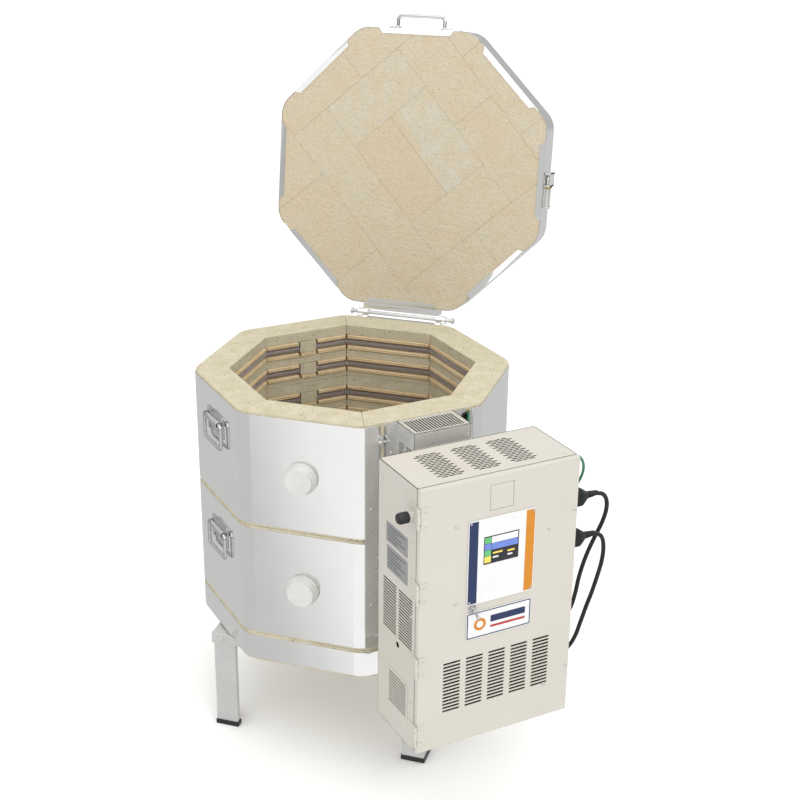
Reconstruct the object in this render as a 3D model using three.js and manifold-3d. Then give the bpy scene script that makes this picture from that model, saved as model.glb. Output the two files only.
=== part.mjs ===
// An eight-sided electric pottery kiln with its lid open, on a stand, with a control box on one facet.
// Units are millimetres, +Z is up and the floor is at z = 0.
import * as THREE from "three";
import { mergeVertices } from "three/addons/utils/BufferGeometryUtils.js";
import Module from "manifold-3d";

const wasm = await Module();
wasm.setup();

// ---------------------------------------------------------------- driving dimensions
const INCH = 25.4;
const GAP = 0.3; // left between pieces that touch
const OVERLAP = 0.4; // how far joined solids run into each other
const SIDES = 8;
const HALF_FACET = Math.PI / SIDES;

const CHAMBER = (17.5 * INCH) / 2; // from the axis to an inner facet
const WALL = 2.5 * INCH;
const SECTION = 9 * INCH;
const COURSE = SECTION / 2;
const STAND_TOP = 213.5;
const FLOOR = 59.3;
const LID = 3 * INCH;
const CORNER = 50; // outer corner radius of the bricks

const BRICK = CHAMBER + WALL; // from the axis to an outer brick facet
const JACKET_IN = BRICK + GAP;
const SHEET = 1;
const JACKET = JACKET_IN + SHEET;
const ON_JACKET = JACKET + GAP; // where pieces fixed to a jacket begin

const RING_BASE = STAND_TOP + FLOOR;
const SEAM = RING_BASE + SECTION;
const KILN_TOP = SEAM + SECTION;

const ROW_DROPS = [38, 87]; // element rows below the top of a course
const PEEP_DROP = 117; // peephole below the top of a section
const TAIL_SIDE = -25; // where the element tails go through the control facet

// facet directions, in degrees about +Z
const FACET = { handleLeft: -135, front: -90, control: -45, right: 0, handleRight: 45, hinge: 90, block: 135 };

const LID_OPEN = 99; // degrees from shut to its stop
const HINGE_OUT = BRICK + 21.7;
const HINGE_UP = KILN_TOP + 3.5;
const HINGE_SHIFT = -4; // the hinge sits a little off the facet's middle

// control box, measured out from the kiln's axis, along its facet and down from the kiln's top
const CASE = { back: 382, front: 518, left: -138, right: 173, top: KILN_TOP - 17, bottom: KILN_TOP - 524 };
const DOOR_FACE = 530;
const CASE_SHEET = 1.5;
const DOOR_HINGES = [67, 207, 350, 486]; // middles, below the kiln's top

// ---------------------------------------------------------------- materials
const colours = {
  brick: [0xe3d9bd, 0.95, 0],
  holder: [0xe0c39a, 0.9, 0],
  coil: [0x77777a, 0.5, 0.8],
  stainless: [0xc9c9c9, 0.22, 1],
  galvanised: [0xb9bab6, 0.4, 0.9],
  chrome: [0xd8d8d8, 0.12, 1],
  brass: [0xb59a3c, 0.35, 1],
  steel: [0xa9aaa8, 0.45, 0.8],
  cream: [0xdfdccf, 0.5, 0],
  white: [0xf1f0ec, 0.6, 0],
  plaque: [0xf4f4f4, 0.4, 0],
  black: [0x1c1c1c, 0.55, 0],
  screen: [0x223048, 0.15, 0],
  board: [0x2f6b46, 0.6, 0],
  green: [0x3c7a5c, 0.5, 0],
};
const materials = {};
for (const [name, [color, roughness, metalness]] of Object.entries(colours)) {
  materials[name] = new THREE.MeshStandardMaterial({ name, color, roughness, metalness });
}

// ---------------------------------------------------------------- solid helpers
function solid(geometry) {
  const bare = geometry.index ? geometry.clone() : mergeVertices(geometry);
  bare.deleteAttribute("normal");
  bare.deleteAttribute("uv");
  const merged = mergeVertices(bare, 1e-4);
  const triVerts = new Uint32Array(merged.index.array);
  const vertProperties = new Float32Array(merged.attributes.position.array);
  return new wasm.Manifold(new wasm.Mesh({ numProp: 3, vertProperties, triVerts }));
}

function geometryOf(shape) {
  const mesh = shape.getMesh();
  const geometry = new THREE.BufferGeometry();
  geometry.setAttribute("position", new THREE.BufferAttribute(mesh.vertProperties, 3));
  geometry.setIndex(new THREE.BufferAttribute(mesh.triVerts, 1));
  geometry.computeVertexNormals();
  return geometry;
}

function joined(parts) {
  return parts.reduce((sum, part) => sum.add(part));
}

function cut(body, cutters) {
  return cutters.length ? body.subtract(joined(cutters)) : body;
}

function block(x, y, z) {
  const box = new THREE.BoxGeometry(x[1] - x[0], y[1] - y[0], z[1] - z[0]);
  return solid(box.translate((x[0] + x[1]) / 2, (y[0] + y[1]) / 2, (z[0] + z[1]) / 2));
}

// A cylinder or cone from point `from`, along +x, +y or +z for `length`.
function rod(axis, from, length, radius, sides = 16, endRadius = radius) {
  const geometry = new THREE.CylinderGeometry(endRadius, radius, length, sides);
  geometry.translate(0, length / 2, 0);
  if (axis === "x") geometry.rotateZ(-Math.PI / 2);
  if (axis === "z") geometry.rotateX(Math.PI / 2);
  return solid(geometry.translate(...from));
}

// A straight extrusion of an XY outline between two heights.
function slab(outline, low, high, curveSegments = 2) {
  const options = { depth: high - low, bevelEnabled: false, curveSegments };
  return solid(new THREE.ExtrudeGeometry(outline, options).translate(0, 0, low));
}

// An outline drawn in the Y-Z plane and extruded along +x.
function plateAcross(outline, low, high, curveSegments = 3) {
  const options = { depth: high - low, bevelEnabled: false, curveSegments };
  const geometry = new THREE.ExtrudeGeometry(outline, options);
  geometry.rotateX(Math.PI / 2).rotateZ(Math.PI / 2);
  return solid(geometry.translate(low, 0, 0));
}

function turned(shape, degrees) {
  return shape.rotate([0, 0, degrees]);
}

// A round bar along a path of straight stretches with rounded corners.
function bentBar(points, radius, bend, sides = 8, steps = 40) {
  const path = new THREE.CurvePath();
  const corners = points.map((p) => new THREE.Vector3(...p));
  let start = corners[0];
  for (let i = 1; i < corners.length - 1; i += 1) {
    const corner = corners[i];
    const enter = corner.clone().add(corners[i - 1].clone().sub(corner).setLength(bend));
    const leave = corner.clone().add(corners[i + 1].clone().sub(corner).setLength(bend));
    path.add(new THREE.LineCurve3(start, enter));
    path.add(new THREE.QuadraticBezierCurve3(enter, corner, leave));
    start = leave;
  }
  path.add(new THREE.LineCurve3(start, corners[corners.length - 1]));
  const section = new THREE.Shape().absarc(0, 0, radius, 0, 2 * Math.PI);
  const options = { steps, extrudePath: path, curveSegments: sides / 2 };
  return solid(new THREE.ExtrudeGeometry(section, options));
}

function rectangle(x, y, radius = 0) {
  const shape = new THREE.Shape();
  if (radius === 0) {
    shape.moveTo(x[0], y[0]).lineTo(x[1], y[0]).lineTo(x[1], y[1]).lineTo(x[0], y[1]);
    return shape;
  }
  shape.absarc(x[1] - radius, y[0] + radius, radius, -Math.PI / 2, 0);
  shape.absarc(x[1] - radius, y[1] - radius, radius, 0, Math.PI / 2);
  shape.absarc(x[0] + radius, y[1] - radius, radius, Math.PI / 2, Math.PI);
  shape.absarc(x[0] + radius, y[0] + radius, radius, Math.PI, 1.5 * Math.PI);
  return shape;
}

// An eight-sided outline, with its corners rounded unless the radius is 0.
function octagon(apothem, radius = 0) {
  const shape = new THREE.Shape();
  const centre = (apothem - radius) / Math.cos(HALF_FACET);
  for (let i = 0; i < SIDES; i += 1) {
    const facet = i * 2 * HALF_FACET;
    const x = centre * Math.cos(facet + HALF_FACET);
    const y = centre * Math.sin(facet + HALF_FACET);
    if (radius === 0 && i === 0) shape.moveTo(x, y);
    if (radius === 0 && i > 0) shape.lineTo(x, y);
    if (radius > 0) shape.absarc(x, y, radius, facet, facet + 2 * HALF_FACET);
  }
  return shape;
}

function octagonRing(outer, outerRadius, inner, innerRadius, low, high) {
  const outline = octagon(outer, outerRadius);
  outline.holes.push(octagon(inner, innerRadius));
  return slab(outline, low, high);
}

// An eight-sided ring swept from an [out, up] profile, with out counted from the axis to a facet.
function octagonSweep(profile) {
  const stretch = 1 / Math.cos(HALF_FACET);
  const points = [...profile, profile[0]].map(([out, up]) => new THREE.Vector2(out * stretch, up));
  return solid(new THREE.LatheGeometry(points, SIDES, HALF_FACET).rotateX(Math.PI / 2));
}

// ---------------------------------------------------------------- scene helpers
const kiln = new THREE.Group();
const cordMeshes = [];

// A mesh whose shape is drawn with x out from the kiln's axis and y along a facet.
function piece(name, shape, material, facet = 0, parent = kiln) {
  const mesh = new THREE.Mesh(geometryOf(shape), materials[material]);
  mesh.name = name;
  mesh.rotation.z = THREE.MathUtils.degToRad(facet);
  parent.add(mesh);
  return mesh;
}

// ---------------------------------------------------------------- stand
const FRAME = { half: 223, sheet: 3, flange: 30, drop: 22 };
const LEG = { flange: 45, lip: 12.5, sheet: 2.5, foot: 3.3 };

function standFrame() {
  const { half, sheet, flange, drop } = FRAME;
  const square = (reach) => rectangle([-reach, reach], [-reach, reach]);
  const top = square(half);
  top.holes.push(square(half - flange));
  const side = square(half);
  side.holes.push(square(half - sheet));
  return slab(top, STAND_TOP - sheet, STAND_TOP).add(slab(side, STAND_TOP - drop, STAND_TOP));
}

// The leg's folded section, grown outwards by `grow`, with its outer corner at the origin.
function legSection(grow) {
  const { flange, lip, sheet } = LEG;
  const half = [
    [grow, grow],
    [-flange - grow, grow],
    [-flange - grow, -lip - grow],
    [-flange + sheet + grow, -lip - grow],
    [-flange + sheet + grow, -sheet - grow],
  ];
  const mirrored = half.slice(1).reverse().map(([x, y]) => [y, x]);
  const outline = [...half, [-sheet - grow, -sheet - grow], ...mirrored];
  return new THREE.Shape(outline.map((p) => new THREE.Vector2(...p)));
}

function addStand() {
  piece("stand_frame", standFrame(), "steel");
  const reach = FRAME.half - FRAME.sheet - GAP;
  const places = { back_right: 0, back_left: 90, front_left: 180, front_right: 270 };
  const skin = 1.5;
  for (const [place, turn] of Object.entries(places)) {
    const leg = slab(legSection(0), LEG.foot, STAND_TOP - FRAME.sheet - GAP).translate([reach, reach, 0]);
    piece(`leg_${place}`, leg, "steel", turn);
    const cap = slab(legSection(GAP + skin), 0, 10).subtract(slab(legSection(GAP), LEG.foot - GAP, 11));
    piece(`foot_cap_${place}`, cap.translate([reach, reach, 0]), "black", turn);
  }
}

// ---------------------------------------------------------------- firebrick
const HOLDER = { height: 32, depth: 30, lip: 3, slot: 14.5, slotDepth: 24 };
const COIL = { radius: 5, centre: 15 };
const RIB = { depth: 12, half: 18 };
const BLOCK = { low: -21, high: 15, depth: 6 };

function rowHeight(course, row) {
  return KILN_TOP - course * COURSE - ROW_DROPS[row];
}

function holderGroove(height) {
  const half = HOLDER.height / 2 + GAP;
  const out = CHAMBER + HOLDER.depth + GAP;
  return octagonSweep([[CHAMBER - 10, height - half], [out, height - half], [out, height + half],
    [CHAMBER - 10, height + half]]);
}

// The rib that ties the two rows of a course together, behind the plain blocks.
function rowRib(course, grow) {
  const low = rowHeight(course, 1) - grow;
  const high = rowHeight(course, 0) + grow;
  const out = [CHAMBER + RIB.depth - grow, CHAMBER + HOLDER.depth + grow];
  return turned(block(out, [-RIB.half - grow, RIB.half + grow], [low, high]), FACET.block);
}

function tailHole(course, row, radius) {
  const start = [CHAMBER, TAIL_SIDE, rowHeight(course, row)];
  return turned(rod("x", start, WALL + 30, radius, 8), FACET.control);
}

const THERMOCOUPLE = { side: 30, height: KILN_TOP - 120, radius: 4 };

function brickRing(section) {
  const high = KILN_TOP - section * SECTION - GAP;
  const low = KILN_TOP - (section + 1) * SECTION;
  const body = octagonRing(BRICK, CORNER, CHAMBER, 0, low, high);
  const cutters = [];
  for (const course of [2 * section, 2 * section + 1]) {
    cutters.push(rowRib(course, GAP));
    for (const row of [0, 1]) {
      cutters.push(holderGroove(rowHeight(course, row)));
      cutters.push(tailHole(course, row, 4));
    }
  }
  const peep = [CHAMBER - 20, 0, KILN_TOP - section * SECTION - PEEP_DROP];
  cutters.push(turned(rod("x", peep, WALL + 60, PEEP.bore), FACET.front));
  if (section === 0) {
    const start = [CHAMBER - 20, THERMOCOUPLE.side, THERMOCOUPLE.height];
    cutters.push(turned(rod("x", start, WALL + 60, THERMOCOUPLE.radius + 1, 10), FACET.control));
  }
  return cut(body, cutters);
}

function holderRow(height) {
  const half = HOLDER.height / 2;
  const slot = HOLDER.slot / 2;
  const lip = CHAMBER - HOLDER.lip;
  const out = CHAMBER + HOLDER.depth;
  const bottom = CHAMBER + HOLDER.slotDepth;
  const channel = octagonSweep([[lip, height - half], [out, height - half], [out, height + half],
    [lip, height + half], [lip, height + slot], [bottom, height + slot], [bottom, height - slot],
    [lip, height - slot]]);
  const plain = block([lip, CHAMBER + BLOCK.depth], [BLOCK.low, BLOCK.high],
    [height - half + 1, height + half - 1]);
  return channel.add(turned(plain, FACET.block));
}

function courseHolders(course) {
  const rows = [0, 1].map((row) => holderRow(rowHeight(course, row)));
  const slots = [0, 1].map((row) => {
    const half = HOLDER.slot / 2;
    const height = rowHeight(course, row);
    const back = CHAMBER + HOLDER.slotDepth;
    return octagonSweep([[CHAMBER + BLOCK.depth, height - half], [back, height - half],
      [back, height + half], [CHAMBER + BLOCK.depth, height + half]]);
  });
  const tails = [0, 1].map((row) => tailHole(course, row, 3.6));
  return cut(joined([...rows, rowRib(course, 0)]), [...slots, ...tails]);
}

function element(course) {
  const parts = [0, 1].map((row) => {
    const height = rowHeight(course, row) - HOLDER.slot / 2 + COIL.radius + GAP;
    const section = [];
    for (let i = 0; i < 6; i += 1) {
      const angle = (i + 0.5) * Math.PI / 3;
      section.push([CHAMBER + COIL.centre + COIL.radius * Math.cos(angle),
        height + COIL.radius * Math.sin(angle)]);
    }
    const start = [CHAMBER + COIL.centre, TAIL_SIDE, rowHeight(course, row)];
    const tail = rod("x", start, ON_JACKET + 18 - start[0], 2.8, 6);
    return octagonSweep(section).add(turned(tail, FACET.control));
  });
  const bar = block([ON_JACKET + 10, ON_JACKET + 16], [TAIL_SIDE - 5, TAIL_SIDE + 5],
    [rowHeight(course, 1) - 6, rowHeight(course, 0) + 6]);
  return joined([...parts, turned(bar, FACET.control)]);
}

function addBody() {
  const floor = octagon(BRICK, CORNER);
  piece("floor_slab", slab(floor, STAND_TOP + GAP, RING_BASE - GAP), "brick");
  const band = octagonRing(JACKET, CORNER + SHEET, JACKET_IN, CORNER, STAND_TOP + 4, RING_BASE - 5);
  piece("floor_band", band, "stainless");
  ["upper", "lower"].forEach((name, section) => {
    piece(`${name}_brick_ring`, brickRing(section), "brick");
    piece(`${name}_jacket`, jacket(section), "stainless");
  });
  for (let course = 0; course < 4; course += 1) {
    piece(`element_holders_course_${course + 1}`, courseHolders(course), "holder");
    piece(`heating_element_${course + 1}`, element(course), "coil");
  }
  piece("thermocouple", thermocouple(), "white", FACET.control);
}

function thermocouple() {
  const { side, height, radius } = THERMOCOUPLE;
  const probe = rod("x", [CHAMBER - 15, side, height], ON_JACKET + 2 - CHAMBER + 15, radius, 10);
  const head = block([ON_JACKET, ON_JACKET + 22], [side - 11, side + 11], [height - 14, height + 14]);
  return probe.add(head);
}

// ---------------------------------------------------------------- jackets
const JOINT = { low: -86, high: -79 }; // the gap between a jacket's ends
const CLAMP_DROPS = [33, SECTION - 33];

function jacketClamp(height) {
  const out = [JACKET - OVERLAP, JACKET + 10];
  const lugs = [JOINT.low - 3, JOINT.high].map((y) => block(out, [y, y + 3], [height - 9, height + 9]));
  const bolt = rod("y", [JACKET + 6, JOINT.low - 3, height], JOINT.high - JOINT.low + 10, 2, 8);
  return joined([...lugs, bolt]);
}

function jacket(section) {
  const top = KILN_TOP - section * SECTION;
  const low = top - SECTION + 5;
  const high = top - 5;
  const cutters = [turned(block([BRICK, JACKET + 5], [JOINT.low, JOINT.high], [low - 1, high + 1]),
    FACET.control)];
  for (const course of [2 * section, 2 * section + 1]) {
    for (const row of [0, 1]) cutters.push(tailHole(course, row, 4));
  }
  cutters.push(turned(rod("x", [BRICK - 10, 0, top - PEEP_DROP], 30, PEEP.bore + 1), FACET.front));
  if (section === 0) {
    const start = [BRICK - 10, THERMOCOUPLE.side, THERMOCOUPLE.height];
    cutters.push(turned(rod("x", start, 30, THERMOCOUPLE.radius + 1, 10), FACET.control));
  }
  const skin = cut(octagonRing(JACKET, CORNER + SHEET, JACKET_IN, CORNER, low, high), cutters);
  const clamps = CLAMP_DROPS.map((drop) => turned(jacketClamp(top - drop), FACET.control));
  return joined([skin, ...clamps]);
}

// ---------------------------------------------------------------- peephole plugs
const PEEP = { bore: 13, stem: 12.5, rim: 31, shoulder: 30, face: 23.3, step: 8, reach: 20 };

function addPeepholePlugs() {
  ["upper", "lower"].forEach((name, section) => {
    const height = KILN_TOP - section * SECTION - PEEP_DROP;
    const at = (out) => [out, 0, height];
    const stem = rod("x", at(CHAMBER + 4), ON_JACKET - CHAMBER - 3, PEEP.stem - 2, 16, PEEP.stem);
    const rim = rod("x", at(ON_JACKET), PEEP.step + 0.01, PEEP.rim, 20, PEEP.shoulder);
    const taper = rod("x", at(ON_JACKET + PEEP.step), PEEP.reach - PEEP.step, PEEP.shoulder, 20, PEEP.face);
    piece(`${name}_peephole_plug`, joined([stem, rim, taper]), "white", FACET.front);
  });
}

// ---------------------------------------------------------------- drop handles
const HANDLE = { half: 40, top: 45, bottom: 90, sheet: 1.5, pivotDrop: 60, bar: 3.5, arm: 41.5, length: 48 };
const PIVOT_OUT = ON_JACKET + HANDLE.sheet + 6;

function handlePlate(top) {
  const plate = plateAcross(rectangle([-HANDLE.half, HANDLE.half], [top - HANDLE.bottom, top - HANDLE.top], 5),
    ON_JACKET, ON_JACKET + HANDLE.sheet);
  const half = HANDLE.half - 7;
  const start = [PIVOT_OUT, -half, top - HANDLE.pivotDrop];
  const barrel = rod("y", start, 2 * half, 6.4, 10);
  const bore = rod("y", [start[0], -half - 1, start[2]], 2 * half + 2, 4.1, 8);
  return plate.add(barrel).subtract(bore);
}

function handleBail(top) {
  const pivot = top - HANDLE.pivotDrop;
  const low = pivot - HANDLE.length;
  const { arm } = HANDLE;
  const points = [[0, 18, pivot], [0, arm, pivot], [0, arm, low], [0, -arm, low], [0, -arm, pivot],
    [0, -18, pivot]];
  return bentBar(points, HANDLE.bar, 8, 6, 30).translate([PIVOT_OUT, 0, 0]);
}

function addHandles() {
  for (const [side, facet] of [["left", FACET.handleLeft], ["right", FACET.handleRight]]) {
    ["upper", "lower"].forEach((name, section) => {
      const top = KILN_TOP - section * SECTION;
      piece(`${name}_${side}_handle_plate`, handlePlate(top), "chrome", facet);
      piece(`${name}_${side}_handle_bail`, handleBail(top), "chrome", facet);
    });
  }
}

// ---------------------------------------------------------------- lid, drawn shut
const TAB = { outer: 80, inner: 72, reach: 10 };
const LID_BASE = KILN_TOP;
const LID_SLAB_BASE = LID_BASE + SHEET + GAP;

function lidBand() {
  const ring = octagonRing(JACKET, CORNER + SHEET, JACKET_IN, CORNER, LID_BASE, LID_SLAB_BASE + LID - 3);
  const tab = new THREE.Shape();
  const edge = JACKET_IN + OVERLAP;
  tab.moveTo(edge, -TAB.outer).lineTo(edge, TAB.outer);
  tab.lineTo(JACKET_IN - TAB.reach, TAB.inner).lineTo(JACKET_IN - TAB.reach, -TAB.inner);
  const tabs = [];
  for (let i = 0; i < SIDES; i += 1) {
    tabs.push(turned(slab(tab, LID_BASE, LID_BASE + SHEET), (i * 360) / SIDES));
  }
  return joined([ring, ...tabs]);
}

const GRIP = { half: 50, reach: 30, bar: 3.7, foot: 26, height: LID_BASE + 38 };

function lidHandle() {
  const inner = ON_JACKET + 1;
  const out = JACKET + GRIP.reach - GRIP.bar;
  const bar = bentBar([[inner, -GRIP.half, 0], [out, -GRIP.half, 0], [out, GRIP.half, 0],
    [inner, GRIP.half, 0]], GRIP.bar, 11, 8, 22).translate([0, 0, GRIP.height]);
  const feet = [-1, 1].map((side) => {
    const ends = [side * (GRIP.half - 6), side * (GRIP.half + GRIP.foot - 6)].sort((a, b) => a - b);
    const outline = rectangle(ends, [GRIP.height - 8, GRIP.height + 8], 5);
    return plateAcross(outline, ON_JACKET, ON_JACKET + 2);
  });
  return joined([bar, ...feet]);
}

const TENSIONER = { heights: [20, 50], block: [-16, 12], far: [50, 56], reach: 12 };

function bandTensioner() {
  const low = LID_BASE + 10;
  const high = LID_BASE + 60;
  const strap = block([ON_JACKET, ON_JACKET + 1.6], [TENSIONER.block[0], TENSIONER.far[1]], [low, high]);
  const near = block([ON_JACKET, ON_JACKET + TENSIONER.reach], TENSIONER.block, [low, high]);
  const hollow = block([ON_JACKET + 1.6, ON_JACKET + 20], [-14, 10], [low - 1, high + 1]);
  const far = block([ON_JACKET, ON_JACKET + 9], TENSIONER.far, [low, high]);
  const rods = TENSIONER.heights.map((up) =>
    rod("y", [ON_JACKET + 6, -4, LID_BASE + up], 64, 2.2, 8));
  const nuts = TENSIONER.heights.map((up) =>
    rod("y", [ON_JACKET + 6.5, TENSIONER.block[1] - 0.4, LID_BASE + up], 4, 4.2, 6));
  return joined([near.subtract(hollow), strap, far, ...rods, ...nuts]);
}

// ---------------------------------------------------------------- lid hinge, on its own facet
const WEB = 2;
const LUG = { half: 76, split: 87.5, end: 97, radius: 8, bore: 4.35 };
const HINGE_ROD = 4;

// An angle along the facet with a knuckle at each end; `high` is the side the flange stands on.
function hingeAngle(webLow, flange, lugs, reach) {
  const web = block([ON_JACKET, HINGE_OUT - HINGE_ROD - 3], [-reach, reach], [webLow, webLow + WEB]);
  const back = block([ON_JACKET, ON_JACKET + WEB], [-reach, reach], flange);
  const parts = [web, back];
  for (const side of [-1, 1]) {
    const y = [side * lugs[0], side * lugs[1]].sort((a, b) => a - b);
    parts.push(block([ON_JACKET, HINGE_OUT], y, [webLow, webLow + WEB]));
    parts.push(block([ON_JACKET, ON_JACKET + WEB], y, flange));
    parts.push(rod("y", [HINGE_OUT, y[0], HINGE_UP], y[1] - y[0], LUG.radius, 12));
  }
  const bore = rod("y", [HINGE_OUT, -200, HINGE_UP], 400, LUG.bore, 12);
  return joined(parts).subtract(bore).translate([0, HINGE_SHIFT, 0]);
}

function hingeLeaf() {
  return hingeAngle(KILN_TOP + 1, [KILN_TOP + 1, KILN_TOP + 58], [LUG.half, LUG.split - GAP], LUG.half + 1);
}

function hingeBracket() {
  const low = KILN_TOP - 4.5;
  return hingeAngle(low, [KILN_TOP - 62, low + WEB], [LUG.split, LUG.end], LUG.half - 1)
    .add(bracketTies(low));
}

// Narrow strips that tie the bracket's end lugs to its middle, below the leaf's knuckles.
function bracketTies(low) {
  const ties = [-1, 1].map((side) => {
    const y = [side * (LUG.half - 2), side * (LUG.split + 1)].sort((a, b) => a - b);
    return block([ON_JACKET, ON_JACKET + WEB], y, [KILN_TOP - 62, low + WEB]);
  });
  return joined(ties).translate([0, HINGE_SHIFT, 0]);
}

function hingeRod() {
  const half = 115;
  const start = [HINGE_OUT, -half + HINGE_SHIFT, HINGE_UP];
  const shaft = rod("y", start, 2 * half, HINGE_ROD, 16);
  const heads = [-half, half - 5].map((y) =>
    rod("y", [HINGE_OUT, y + HINGE_SHIFT, HINGE_UP], 5, 6.5, 6));
  return joined([shaft, ...heads]);
}

// Everything on the lid is drawn shut inside this group, which turns back about the hinge.
function addLid() {
  const swing = new THREE.Group();
  swing.position.set(0, HINGE_OUT, HINGE_UP);
  swing.rotation.x = THREE.MathUtils.degToRad(-LID_OPEN);
  kiln.add(swing);
  const shut = new THREE.Group();
  shut.position.set(0, -HINGE_OUT, -HINGE_UP);
  swing.add(shut);
  const brick = slab(octagon(BRICK, CORNER), LID_SLAB_BASE, LID_SLAB_BASE + LID - 1);
  piece("lid_slab", brick, "brick", 0, shut);
  piece("lid_band", lidBand(), "stainless", 0, shut);
  piece("lid_handle", lidHandle(), "chrome", FACET.front, shut);
  piece("lid_band_tensioner", bandTensioner(), "galvanised", FACET.right, shut);
  piece("lid_hinge_leaf", hingeLeaf(), "stainless", FACET.hinge, shut);
  piece("hinge_bracket", hingeBracket(), "stainless", FACET.hinge);
  piece("hinge_rod", hingeRod(), "steel", FACET.hinge);
}

// ---------------------------------------------------------------- element cover and brackets
const COVER = { left: -55, right: 59, front: 354, sheet: 1.2, drop: 1, bottom: 446, flange: 1.5 };
const SLOTS = { count: 8, pitch: 12, width: 6.5, first: -45, from: 296, to: 348 };

function elementCover() {
  const { left, right, front, sheet, drop, bottom, flange } = COVER;
  const z = [KILN_TOP - bottom, KILN_TOP - drop];
  const shell = block([ON_JACKET, front], [left, right], z);
  const hollow = block([ON_JACKET - 1, front - sheet], [left + sheet, right - sheet],
    [z[0] + sheet, z[1] - sheet]);
  const flanges = [[-74, left + OVERLAP], [right - OVERLAP, 97]].map((y) =>
    block([ON_JACKET, ON_JACKET + flange], y, z));
  const cutters = [];
  for (let i = 0; i < SLOTS.count; i += 1) {
    const y = SLOTS.first + i * SLOTS.pitch;
    cutters.push(block([SLOTS.from, SLOTS.to], [y, y + SLOTS.width], [z[1] - 4, z[1] + 4]));
  }
  const louvres = 5;
  for (let i = 0; i < louvres; i += 1) {
    const high = KILN_TOP - 36 - i * 14;
    cutters.push(block([300, 344], [left - 2, left + 4], [high - 7, high]));
  }
  cutters.push(rod("x", [ON_JACKET - 5, 84.5, KILN_TOP - 16], 20, 6, 12));
  return cut(joined([shell.subtract(hollow), ...flanges]), cutters);
}

function mountingRail() {
  const rail = rectangle([-117, -91], [KILN_TOP - 426, KILN_TOP - 1], 7);
  return plateAcross(rail, ON_JACKET + GAP, ON_JACKET + GAP + 1.5);
}

function boxBracket() {
  const outline = rectangle([COVER.front + GAP, CASE.back - GAP], [-58, 62]);
  outline.holes.push(rectangle([COVER.front + GAP + 2, CASE.back - GAP - 2], [-56, 60]));
  return slab(outline, KILN_TOP - 400, KILN_TOP - 30);
}

// ---------------------------------------------------------------- control box
const FUSE = { out: 508, drop: 70, stub: 10, cap: 24 };
const SOCKETS = { out: [472, 508], drops: [117, 197] };
const GLAND = { out: 505, along: 75, radius: 12 };
const VENTS = { starts: [-88, -17, 54], width: 54, from: 404, rows: 5, pitch: 20.5, slot: 10 };
const SIDE_SLOTS = { columns: [401, 458], width: 50, rows: 7, top: 232, pitch: 13.6, height: 7 };
const FAN_SLOTS = { from: 424, to: 494, rows: 5, top: 403, pitch: 14.6, height: 9 };

function caseCutters() {
  const cutters = [];
  for (const start of VENTS.starts) {
    for (let i = 0; i < VENTS.rows; i += 1) {
      const out = VENTS.from + i * VENTS.pitch;
      cutters.push(block([out, out + VENTS.slot], [start, start + VENTS.width], [CASE.top - 5, CASE.top + 5]));
    }
  }
  const side = [CASE.left - 3, CASE.left + 5];
  for (const column of SIDE_SLOTS.columns) {
    for (let i = 0; i < SIDE_SLOTS.rows; i += 1) {
      const high = KILN_TOP - SIDE_SLOTS.top - i * SIDE_SLOTS.pitch;
      cutters.push(block([column, column + SIDE_SLOTS.width], side, [high - SIDE_SLOTS.height, high]));
    }
  }
  for (let i = 0; i < FAN_SLOTS.rows; i += 1) {
    const high = KILN_TOP - FAN_SLOTS.top - i * FAN_SLOTS.pitch;
    cutters.push(block([FAN_SLOTS.from, FAN_SLOTS.to], side, [high - FAN_SLOTS.height, high]));
  }
  cutters.push(rod("z", [GLAND.out, GLAND.along, CASE.bottom - 5], 20, 8, 14));
  return cutters;
}

function doorHinge(drop, length) {
  return { low: KILN_TOP - drop - length / 2, high: KILN_TOP - drop + length / 2 };
}

const KNUCKLE = { out: DOOR_FACE + 2, along: CASE.left - 3.6, radius: 2.8, leaf: 1.2 };

function controlCase() {
  const { back, front, left, right, top, bottom } = CASE;
  const shell = block([back, front], [left, right], [bottom, top]);
  const inner = block([back + CASE_SHEET, front + 1], [left + CASE_SHEET, right - CASE_SHEET],
    [bottom + CASE_SHEET, top - CASE_SHEET]);
  const stub = rod("y", [FUSE.out, left - FUSE.stub, KILN_TOP - FUSE.drop], FUSE.stub + OVERLAP, 9, 16);
  const leaves = DOOR_HINGES.map((drop) => {
    const { low, high } = doorHinge(drop, 38);
    const leaf = block([front - 16, DOOR_FACE], [left - KNUCKLE.leaf, left + OVERLAP], [low, high]);
    const tongue = block([DOOR_FACE - 4, KNUCKLE.out], [KNUCKLE.along, left - KNUCKLE.leaf + 0.8], [low, high]);
    const pin = rod("z", [KNUCKLE.out, KNUCKLE.along, low], high - low, KNUCKLE.radius, 10);
    const notch = block([DOOR_FACE - 5, DOOR_FACE + 8], [left - 12, left + 2], [low + 9, high - 9]);
    const clear = block([front + 0.2, DOOR_FACE + 8], [left - KNUCKLE.leaf + 0.9, left + 3], [low - 1, high + 1]);
    return joined([leaf.subtract(clear), tongue, pin]).subtract(notch);
  });
  return cut(joined([shell.subtract(inner), stub, ...leaves]), caseCutters());
}

const LOUVRES = { columns: [-88, -42.5, 2.5, 47.5, 92], width: 34, rows: 7, top: 356, pitch: 14.2, height: 8 };
const OVERLAY = { along: [-46, 86], drops: [93, 252], sheet: 1.5 };
const SCREEN = { along: [-15, 53.5], drops: [128, 180], sheet: 2.5 };
const PLATE = { along: [-45, 85], drops: [268, 320], sheet: 1 };

function heights(drops) {
  return [KILN_TOP - drops[1], KILN_TOP - drops[0]];
}

function grown(range, by) {
  return [range[0] - by, range[1] + by];
}

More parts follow.
